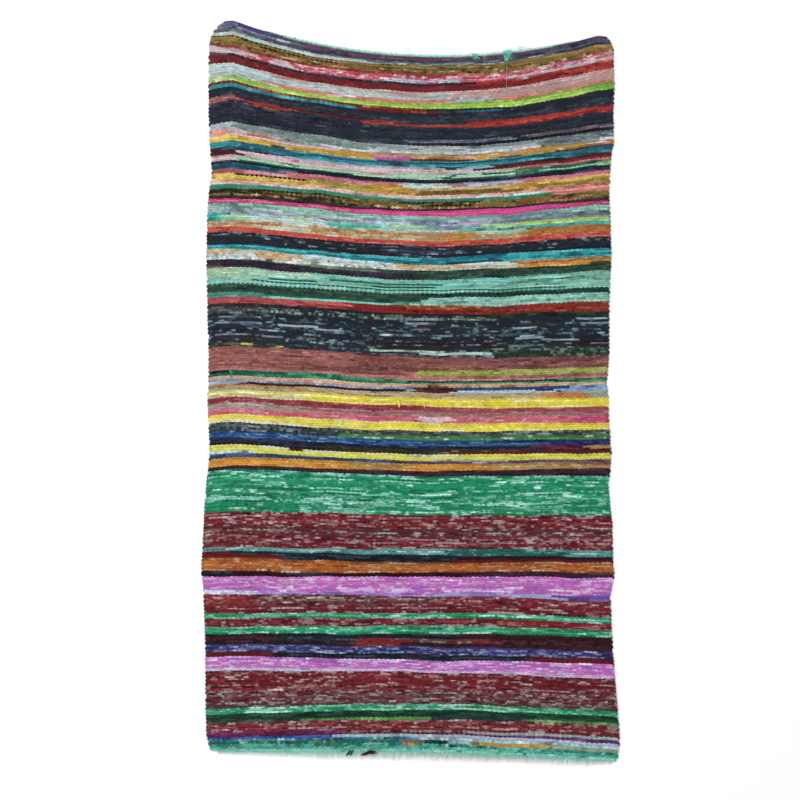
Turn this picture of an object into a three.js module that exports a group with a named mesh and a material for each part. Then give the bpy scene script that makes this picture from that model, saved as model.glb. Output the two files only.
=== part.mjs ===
// A rag rug of about 90 by 160 cm, lying on the floor. Millimetres, +Z up, +X across the rug and +Y towards
// its head end. The origin is on the floor, under the middle of the rug's overall box.
//
// The rug has hung by two points near its head corners, so its wefts are bowed: the head edge sags between
// them, and each weft further down sags less. A soft fold is left in the cloth below each point.

import * as THREE from 'three';
import { mergeVertices } from 'three/addons/utils/BufferGeometryUtils.js';

// Driving sizes
const CLOTH_THICKNESS = 5.0; // rag picks beaten up over a cotton warp
const RIM_THICKNESS = 3.4; // at the turned selvedges and the close-woven headings
const RIM_WIDTH = 6.0; // how far in from an edge the cloth reaches its full thickness
const UNEVENNESS = 0.35; // how much thicker or thinner runs of picks are beaten
const HALF_WIDTH = 452; // nominal, middle to selvedge
const HOLD_LEFT = -396; // across the rug, the two points that it hung by
const HOLD_RIGHT = 416;
const DIP_POWER = 2.4; // shape of the broadest sag
const PART_GAP = 0.33; // between the cloth's edge and each fringe's backing strip
const WARP_PITCH = 5.25; // from one warp end to the next

// Grid of the cloth's solid
const COLUMNS = 26;
const FIRST_ROW_STEP = 4;
const ROW_STEP_GROWTH = 0.25;
const WIDEST_ROW_STEP = 40;

// Guide wefts, head to foot. left and right are a weft's heights up the rug, from its middle, at the two
// hold points. sag is how far it hangs below the line between them. fullness is 1 for a broad sag and 0 for
// a narrow one. leftDrop and rightDrop are how far its ends fall past the hold points.
const GUIDE_WEFTS = [
  { left: 829, right: 795, sag: 60, fullness: 0.8, leftDrop: 9, rightDrop: 2 },
  { left: 770, right: 760, sag: 55, fullness: 0.9, leftDrop: -11, rightDrop: -6 },
  { left: 734, right: 718, sag: 54, fullness: 0.8, leftDrop: 4, rightDrop: -4 },
  { left: 699, right: 680, sag: 50, fullness: 0.9, leftDrop: 9, rightDrop: -4 },
  { left: 605, right: 583, sag: 45, fullness: 0.75, leftDrop: 9, rightDrop: -2 },
  { left: 429, right: 423, sag: 27, fullness: 0.5, leftDrop: 2, rightDrop: 0 },
  { left: 326, right: 310, sag: 20, fullness: 0.4, leftDrop: 1, rightDrop: 0 },
  { left: 204, right: 190, sag: 15, fullness: 0.3, leftDrop: 2, rightDrop: -1 },
  { left: 45, right: 29, sag: 13, fullness: 0.6, leftDrop: 5, rightDrop: -1 },
  { left: -170, right: -187, sag: 11, fullness: 0.3, leftDrop: 4, rightDrop: 0 },
  { left: -261, right: -274, sag: 7, fullness: 0.3, leftDrop: 4, rightDrop: 0 },
  { left: -384, right: -392, sag: 3, fullness: 0.5, leftDrop: 0, rightDrop: 1 },
  { left: -591, right: -607, sag: 0, fullness: 0.5, leftDrop: 1, rightDrop: 2 },
  { left: -705, right: -711, sag: -10, fullness: 0.5, leftDrop: 0, rightDrop: 2 },
  { left: -768, right: -779, sag: -12, fullness: 0.5, leftDrop: -2, rightDrop: 2 },
  { left: -799, right: -818, sag: -8, fullness: 0.5, leftDrop: -2, rightDrop: 3 },
];

// Selvedges, head to foot: at height y up the rug, how far left and right of its middle the cloth reaches.
const SELVEDGES = [
  { y: 830, left: 414, right: 424 },
  { y: 821, left: 425, right: 426 },
  { y: 811, left: 437, right: 429 },
  { y: 795, left: 446, right: 436 },
  { y: 780, left: 449, right: 449 },
  { y: 766, left: 449, right: 453 },
  { y: 735, left: 450, right: 453 },
  { y: 690, left: 450, right: 455 },
  { y: 624, left: 450, right: 452 },
  { y: 556, left: 448, right: 454 },
  { y: 534, left: 446, right: 448 },
  { y: 489, left: 443, right: 445 },
  { y: 444, left: 450, right: 443 },
  { y: 400, left: 453, right: 445 },
  { y: 310, left: 455, right: 448 },
  { y: 199, left: 453, right: 443 },
  { y: 87, left: 450, right: 443 },
  { y: 20, left: 450, right: 437 },
  { y: -2, left: 453, right: 441 },
  { y: -69, left: 450, right: 443 },
  { y: -136, left: 448, right: 448 },
  { y: -181, left: 453, right: 445 },
  { y: -203, left: 455, right: 441 },
  { y: -248, left: 459, right: 445 },
  { y: -293, left: 461, right: 450 },
  { y: -382, left: 466, right: 452 },
  { y: -404, left: 466, right: 455 },
  { y: -449, left: 461, right: 446 },
  { y: -516, left: 459, right: 448 },
  { y: -583, left: 457, right: 452 },
  { y: -672, left: 457, right: 459 },
  { y: -761, left: 455, right: 466 },
  { y: -784, left: 450, right: 466 },
  { y: -806, left: 442, right: 463 },
  { y: -828, left: 438, right: 459 },
];

// The fold below each hold point: where its crest lies, how high it stands at the head edge, how far it
// runs down the rug, and how far it spreads to the left and right of its crest.
const FOLDS = [
  { crest: HOLD_LEFT, height: 10, run: 190, spreadLeft: 46, spreadRight: 56 },
  { crest: HOLD_RIGHT, height: 8, run: 160, spreadLeft: 44, spreadRight: 34 },
];

// Each fringe: its backing strip's ends across the rug and width, the thickness it lies at, its strands'
// pitch and their widths at root and tip, and how much a strand leans and varies in length.
const FOOT_FRINGE = {
  name: 'foot_fringe',
  from: -432,
  to: 452,
  strip: 3.5,
  thickness: 2.0,
  pitch: WARP_PITCH,
  rootWidth: 2.8,
  tipWidth: 1.2,
  lean: 1.0,
  vary: 0.18,
};
const HEAD_FRINGE = {
  name: 'head_fringe',
  from: -324,
  to: 370,
  strip: 3.5,
  thickness: 2.0,
  pitch: 2 * WARP_PITCH,
  rootWidth: 6.0,
  tipWidth: 3.0,
  lean: 1.6,
  vary: 0.3,
};

// How far the strands stand past their strip, across the rug.
const FOOT_STRAND_LENGTHS = [
  { x: -440, length: 6.5 },
  { x: -290, length: 9 },
  { x: -200, length: 13 },
  { x: 60, length: 13 },
  { x: 330, length: 9.5 },
  { x: 460, length: 7 },
];
const HEAD_STRAND_LENGTHS = [
  { x: -330, length: 2 },
  { x: -230, length: 4 },
  { x: 0, length: 5.5 },
  { x: 200, length: 4.5 },
  { x: 380, length: 2 },
];

// Value of one column of a table at a place along another, straight from row to row.
function lookUp(table, along, place, column) {
  const rising = table[table.length - 1][along] > table[0][along];
  const sign = rising ? 1 : -1;
  if (sign * place <= sign * table[0][along]) {
    return table[0][column];
  }
  for (let i = 1; i < table.length; i += 1) {
    if (sign * place <= sign * table[i][along]) {
      const t = (place - table[i - 1][along]) / (table[i][along] - table[i - 1][along]);
      return THREE.MathUtils.lerp(table[i - 1][column], table[i][column], t);
    }
  }
  return table[table.length - 1][column];
}

// Repeatable scatter between -1 and 1, a different one for each number.
function scatter(number) {
  const wave = Math.sin(number * 12.9898 + 4.137) * 43758.5453;
  return 2 * (wave - Math.floor(wave)) - 1;
}

// Height up the rug, at x across it, of the weft that crosses the left hold point at height left.
function weftHeight(left, x) {
  const right = lookUp(GUIDE_WEFTS, 'left', left, 'right');
  if (x < HOLD_LEFT) {
    const past = (HOLD_LEFT - x) / (HOLD_LEFT + HALF_WIDTH);
    return left - lookUp(GUIDE_WEFTS, 'left', left, 'leftDrop') * past * past;
  }
  if (x > HOLD_RIGHT) {
    const past = (x - HOLD_RIGHT) / (HALF_WIDTH - HOLD_RIGHT);
    return right - lookUp(GUIDE_WEFTS, 'left', left, 'rightDrop') * past * past;
  }
  const t = (x - HOLD_LEFT) / (HOLD_RIGHT - HOLD_LEFT);
  const off = Math.abs(2 * t - 1);
  const narrow = 0.5 + 0.5 * Math.cos(Math.PI * off);
  const broad = 1 - off ** DIP_POWER;
  const fullness = lookUp(GUIDE_WEFTS, 'left', left, 'fullness');
  const dip = THREE.MathUtils.lerp(narrow, broad, fullness);
  return THREE.MathUtils.lerp(left, right, t) - lookUp(GUIDE_WEFTS, 'left', left, 'sag') * dip;
}

// The two ends of a weft, where it meets the selvedges.
function weftEnds(left) {
  const ends = { left: -HALF_WIDTH, right: HALF_WIDTH };
  for (let pass = 0; pass < 4; pass += 1) {
    ends.left = -lookUp(SELVEDGES, 'y', weftHeight(left, ends.left), 'left');
    ends.right = lookUp(SELVEDGES, 'y', weftHeight(left, ends.right), 'right');
  }
  return ends;
}

// Heights of the grid's rows at the left hold point, close together near the head and the foot.
function rowHeights() {
  const head = GUIDE_WEFTS[0].left;
  const foot = GUIDE_WEFTS[GUIDE_WEFTS.length - 1].left;
  const rows = [head];
  let height = head;
  while (height > foot) {
    const fromEnd = Math.min(head - height, height - foot);
    const step = Math.min(FIRST_ROW_STEP + ROW_STEP_GROWTH * fromEnd, WIDEST_ROW_STEP);
    height = height - step < foot + FIRST_ROW_STEP / 2 ? foot : height - step;
    rows.push(height);
  }
  return rows;
}

// How far the folds lift the cloth off the floor at a point.
function foldLift(x, fromHead) {
  let lift = 0;
  for (const fold of FOLDS) {
    const spread = x < fold.crest ? fold.spreadLeft : fold.spreadRight;
    const across = Math.min(Math.abs(x - fold.crest) / spread, 1);
    const down = Math.min(fromHead / fold.run, 1);
    lift += fold.height * Math.cos((Math.PI / 2) * across) ** 2 * (1 - down) ** 2;
  }
  return lift;
}

// Points of one row of the cloth, on the floor side and the upper side.
function clothRow(left, row, fromHead, fromFoot) {
  const ends = weftEnds(left);
  const points = [];
  for (let k = 0; k <= COLUMNS; k += 1) {
    const fraction = 0.5 - 0.5 * Math.cos((Math.PI * k) / COLUMNS);
    const x = THREE.MathUtils.lerp(ends.left, ends.right, fraction);
    const inward = Math.min(x - ends.left, ends.right - x, fromHead, fromFoot);
    const full = Math.min(inward / RIM_WIDTH, 1);
    const uneven = UNEVENNESS * full * Math.sin(1.9 * row + 0.6 * Math.sin(x / 140));
    const thickness = THREE.MathUtils.lerp(RIM_THICKNESS, CLOTH_THICKNESS, full) + uneven;
    const lift = foldLift(x, fromHead);
    points.push({ x, y: weftHeight(left, x), under: lift, over: lift + thickness });
  }
  return points;
}

// The cloth as rows of points, head to foot.
function clothGrid() {
  const rows = rowHeights();
  const head = rows[0];
  const foot = rows[rows.length - 1];
  return rows.map((left, row) => clothRow(left, row, head - left, left - foot));
}

// A closed sheet from the grid: upper side, floor side and a wall round the rim.
function sheetGeometry(grid) {
  const across = COLUMNS + 1;
  const upper = (i, j) => i * across + j;
  const lower = (i, j) => (grid.length + i) * across + j;
  const places = [];
  for (const side of ['over', 'under']) {
    for (const row of grid) {
      for (const point of row) {
        places.push(point.x, point.y, point[side]);
      }
    }
  }
  const faces = [];
  const quad = (a, b, c, d) => faces.push(a, b, c, a, c, d);
  const last = grid.length - 1;
  for (let i = 0; i < last; i += 1) {
    for (let j = 0; j < COLUMNS; j += 1) {
      quad(upper(i, j), upper(i + 1, j), upper(i + 1, j + 1), upper(i, j + 1));
      quad(lower(i, j), lower(i, j + 1), lower(i + 1, j + 1), lower(i + 1, j));
    }
    quad(upper(i, 0), lower(i, 0), lower(i + 1, 0), upper(i + 1, 0));
    quad(upper(i, COLUMNS), upper(i + 1, COLUMNS), lower(i + 1, COLUMNS), lower(i, COLUMNS));
  }
  for (let j = 0; j < COLUMNS; j += 1) {
    quad(upper(0, j), upper(0, j + 1), lower(0, j + 1), lower(0, j));
    quad(upper(last, j), lower(last, j), lower(last, j + 1), upper(last, j + 1));
  }
  const geometry = new THREE.BufferGeometry();
  geometry.setAttribute('position', new THREE.Float32BufferAttribute(places, 3));
  geometry.setIndex(faces);
  geometry.computeVertexNormals();
  return geometry;
}

// One fringe as a comb lying on the floor: a backing strip along an edge of the cloth, with the strands'
// roots fused into it. side is 1 for a fringe above the edge and -1 for one below it.
function fringeGeometry(fringe, edge, lengths, side) {
  const edgeHeight = (x) => lookUp(edge, 'x', x, 'y');
  const comb = new THREE.Shape();
  const stripBack = (x) => edgeHeight(x) + side * PART_GAP;
  const stripFront = (x) => edgeHeight(x) + side * (PART_GAP + fringe.strip);
  comb.moveTo(fringe.from, stripBack(fringe.from));
  comb.lineTo(fringe.from, stripFront(fringe.from));
  const count = Math.floor((fringe.to - fringe.from) / fringe.pitch);
  const margin = (fringe.to - fringe.from - count * fringe.pitch) / 2;
  for (let k = 0; k < count; k += 1) {
    const x = fringe.from + margin + (k + 0.5) * fringe.pitch;
    const length = lookUp(lengths, 'x', x, 'length') * (1 + fringe.vary * scatter(k + 1));
    const tipX = x + fringe.lean * scatter(k + 501);
    const root = fringe.rootWidth / 2;
    const tip = fringe.tipWidth / 2;
    comb.lineTo(x - root, stripFront(x - root));
    comb.lineTo(tipX - tip, stripFront(x) + side * length);
    comb.lineTo(tipX + tip, stripFront(x) + side * length);
    comb.lineTo(x + root, stripFront(x + root));
  }
  comb.lineTo(fringe.to, stripFront(fringe.to));
  comb.lineTo(fringe.to, stripBack(fringe.to));
  for (const point of [...edge].reverse()) {
    if (point.x > fringe.from && point.x < fringe.to) {
      comb.lineTo(point.x, stripBack(point.x));
    }
  }
  comb.closePath();
  const geometry = new THREE.ExtrudeGeometry(comb, { depth: fringe.thickness, bevelEnabled: false });
  geometry.deleteAttribute('normal');
  geometry.deleteAttribute('uv');
  const merged = mergeVertices(geometry);
  merged.computeVertexNormals();
  return merged;
}

function namedMesh(name, geometry, colour) {
  const material = new THREE.MeshStandardMaterial({ color: colour, roughness: 0.95, metalness: 0 });
  const mesh = new THREE.Mesh(geometry, material);
  mesh.name = name;
  return mesh;
}

const grid = clothGrid();
const headEdge = grid[0];
const footEdge = grid[grid.length - 1];

const headComb = fringeGeometry(HEAD_FRINGE, headEdge, HEAD_STRAND_LENGTHS, 1);
const footComb = fringeGeometry(FOOT_FRINGE, footEdge, FOOT_STRAND_LENGTHS, -1);

const rug = new THREE.Group();
rug.add(namedMesh('woven_cloth', sheetGeometry(grid), 0x6f4a52));
rug.add(namedMesh(HEAD_FRINGE.name, headComb, 0x8fcdb4));
rug.add(namedMesh(FOOT_FRINGE.name, footComb, 0xd9dcd6));

export default rug;
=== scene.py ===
"""A hand-woven rag rug of about 90 by 160 cm, lying on a pale floor.

Strips of cotton rag, knit jersey and shiny lining are beaten over a cotton warp in plain weave. Every pick
is laid one by one from a weaver's chart of the stripes, and turns round the last warp end at each selvedge.
Sizes are in millimetres until a mesh is made, and in the part's own frame: +X across the rug, +Y to its head.
"""

import logging
import math
from collections.abc import Callable
from dataclasses import dataclass, field
from enum import Enum

import bpy
import numpy as np
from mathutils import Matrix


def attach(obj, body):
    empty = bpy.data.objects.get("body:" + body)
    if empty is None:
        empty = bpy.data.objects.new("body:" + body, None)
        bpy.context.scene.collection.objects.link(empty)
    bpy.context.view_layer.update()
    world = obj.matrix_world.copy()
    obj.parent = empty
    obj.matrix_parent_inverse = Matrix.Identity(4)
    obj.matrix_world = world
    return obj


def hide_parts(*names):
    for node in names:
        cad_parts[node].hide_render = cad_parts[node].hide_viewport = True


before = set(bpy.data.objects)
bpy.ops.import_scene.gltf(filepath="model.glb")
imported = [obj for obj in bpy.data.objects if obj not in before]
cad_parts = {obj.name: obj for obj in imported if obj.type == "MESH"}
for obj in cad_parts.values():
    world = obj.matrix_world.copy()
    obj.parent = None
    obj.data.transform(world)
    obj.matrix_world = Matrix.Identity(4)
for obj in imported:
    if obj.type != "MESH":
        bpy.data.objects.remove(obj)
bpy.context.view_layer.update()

LOG = logging.getLogger("rag_rug")
MM = 0.001
# A rag with a single fleck also gets painted shade of its folds: runs of its own ground so much darker, over
# so much more of it
FOLD_PAINTED_SHADE = 0.42
FOLD_SHARE = 0.28
MOST_FOLDED = 0.7
# Flecks: the most that they cover, how strongly they show, and how the noise that draws them is spread
MOST_FLECKED = 0.85
FLECK_TONES = (0.4, 1.0)
GROUND_TONE = 0.6
NOISE_MIDDLE = 0.5
NOISE_SPREAD = 0.27
# Maps: where a strand starts in its cell, how much of the cell it fills, and how large its capped ends are
CELL_START = 0.04
CELL_FILL = 0.92
CAP_SIZE = 0.2


def linear(code: str) -> tuple[float, float, float]:
    """Turn an sRGB colour into linear light.

    Args:
        code: six hex digits, red, green and blue.

    Returns:
        The three linear values, 0 to 1.
    """
    values = [int(code[i : i + 2], 16) / 255 for i in (0, 2, 4)]
    return tuple(v / 12.92 if v <= 0.04045 else ((v + 0.055) / 1.055) ** 2.4 for v in values)


def add_node(tree: bpy.types.NodeTree, kind: str, inputs: dict, **settings: object) -> bpy.types.Node:
    """Add a node with its settings and links.

    Args:
        tree: the material's or world's node tree.
        kind: Blender's name for the node, without the ShaderNode that all of them start with.
        inputs: for each input, by name or number, a value or the output socket that feeds it.
        **settings: properties of the node itself.

    Returns:
        The new node.
    """
    made = tree.nodes.new("ShaderNode" + kind)
    for name, value in settings.items():
        setattr(made, name, value)
    for name, value in inputs.items():
        if isinstance(value, bpy.types.NodeSocket):
            tree.links.new(value, made.inputs[name])
        else:
            made.inputs[name].default_value = value
    return made


def rows_of(text: str) -> list[list[str]]:
    """Split a written table into the words of its rows."""
    return [line.split() for line in text.strip().splitlines()]


class Cloth(Enum):
    """What a rag was torn from, which settles how it takes the light."""

    COTTON = 0
    JERSEY = 1
    SATIN = 2


@dataclass(frozen=True)
class Dye:
    """Colours of one rag: its ground and the print or fray that shows on it in short runs."""

    ground: str
    flecks: tuple[str, ...] = ()
    share: float = 0.0
    run: float = 16.0
    cloth: Cloth = Cloth.COTTON

    def shown(self) -> tuple[list[np.ndarray], float]:
        """Find what shows on the ground.

        Returns:
            The flecks' linear colours, with the painted shade of the folds, the ground much darker, where
            there is but one, and the share of the rag that they cover.
        """
        flecks = [np.array(linear(code)) for code in self.flecks]
        if len(flecks) != 1:
            return flecks, self.share
        # Painted shade of the folds: the rag's own ground, much darker
        flecks.append(np.array(linear(self.ground)) * FOLD_PAINTED_SHADE)
        return flecks, min(self.share + FOLD_SHARE, MOST_FOLDED)


def read_rags(text: str) -> dict[str, Dye]:
    """Read the bag of rags.

    Args:
        text: one rag on each line, laid out as the comment above the bag says.

    Returns:
        Each rag's dye, by the rag's name.
    """
    dyes = {}
    for words in rows_of(text):
        stroke = words.index("/") if "/" in words else len(words)
        name, ground, *flecks = words[:stroke]
        rest = words[stroke + 1 :]
        cloth = Cloth[rest.pop().upper()] if rest and rest[-1].isalpha() else Cloth.COTTON
        dyes[name] = Dye(ground, tuple(flecks), *(float(word) for word in rest), cloth=cloth)
    return dyes


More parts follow.
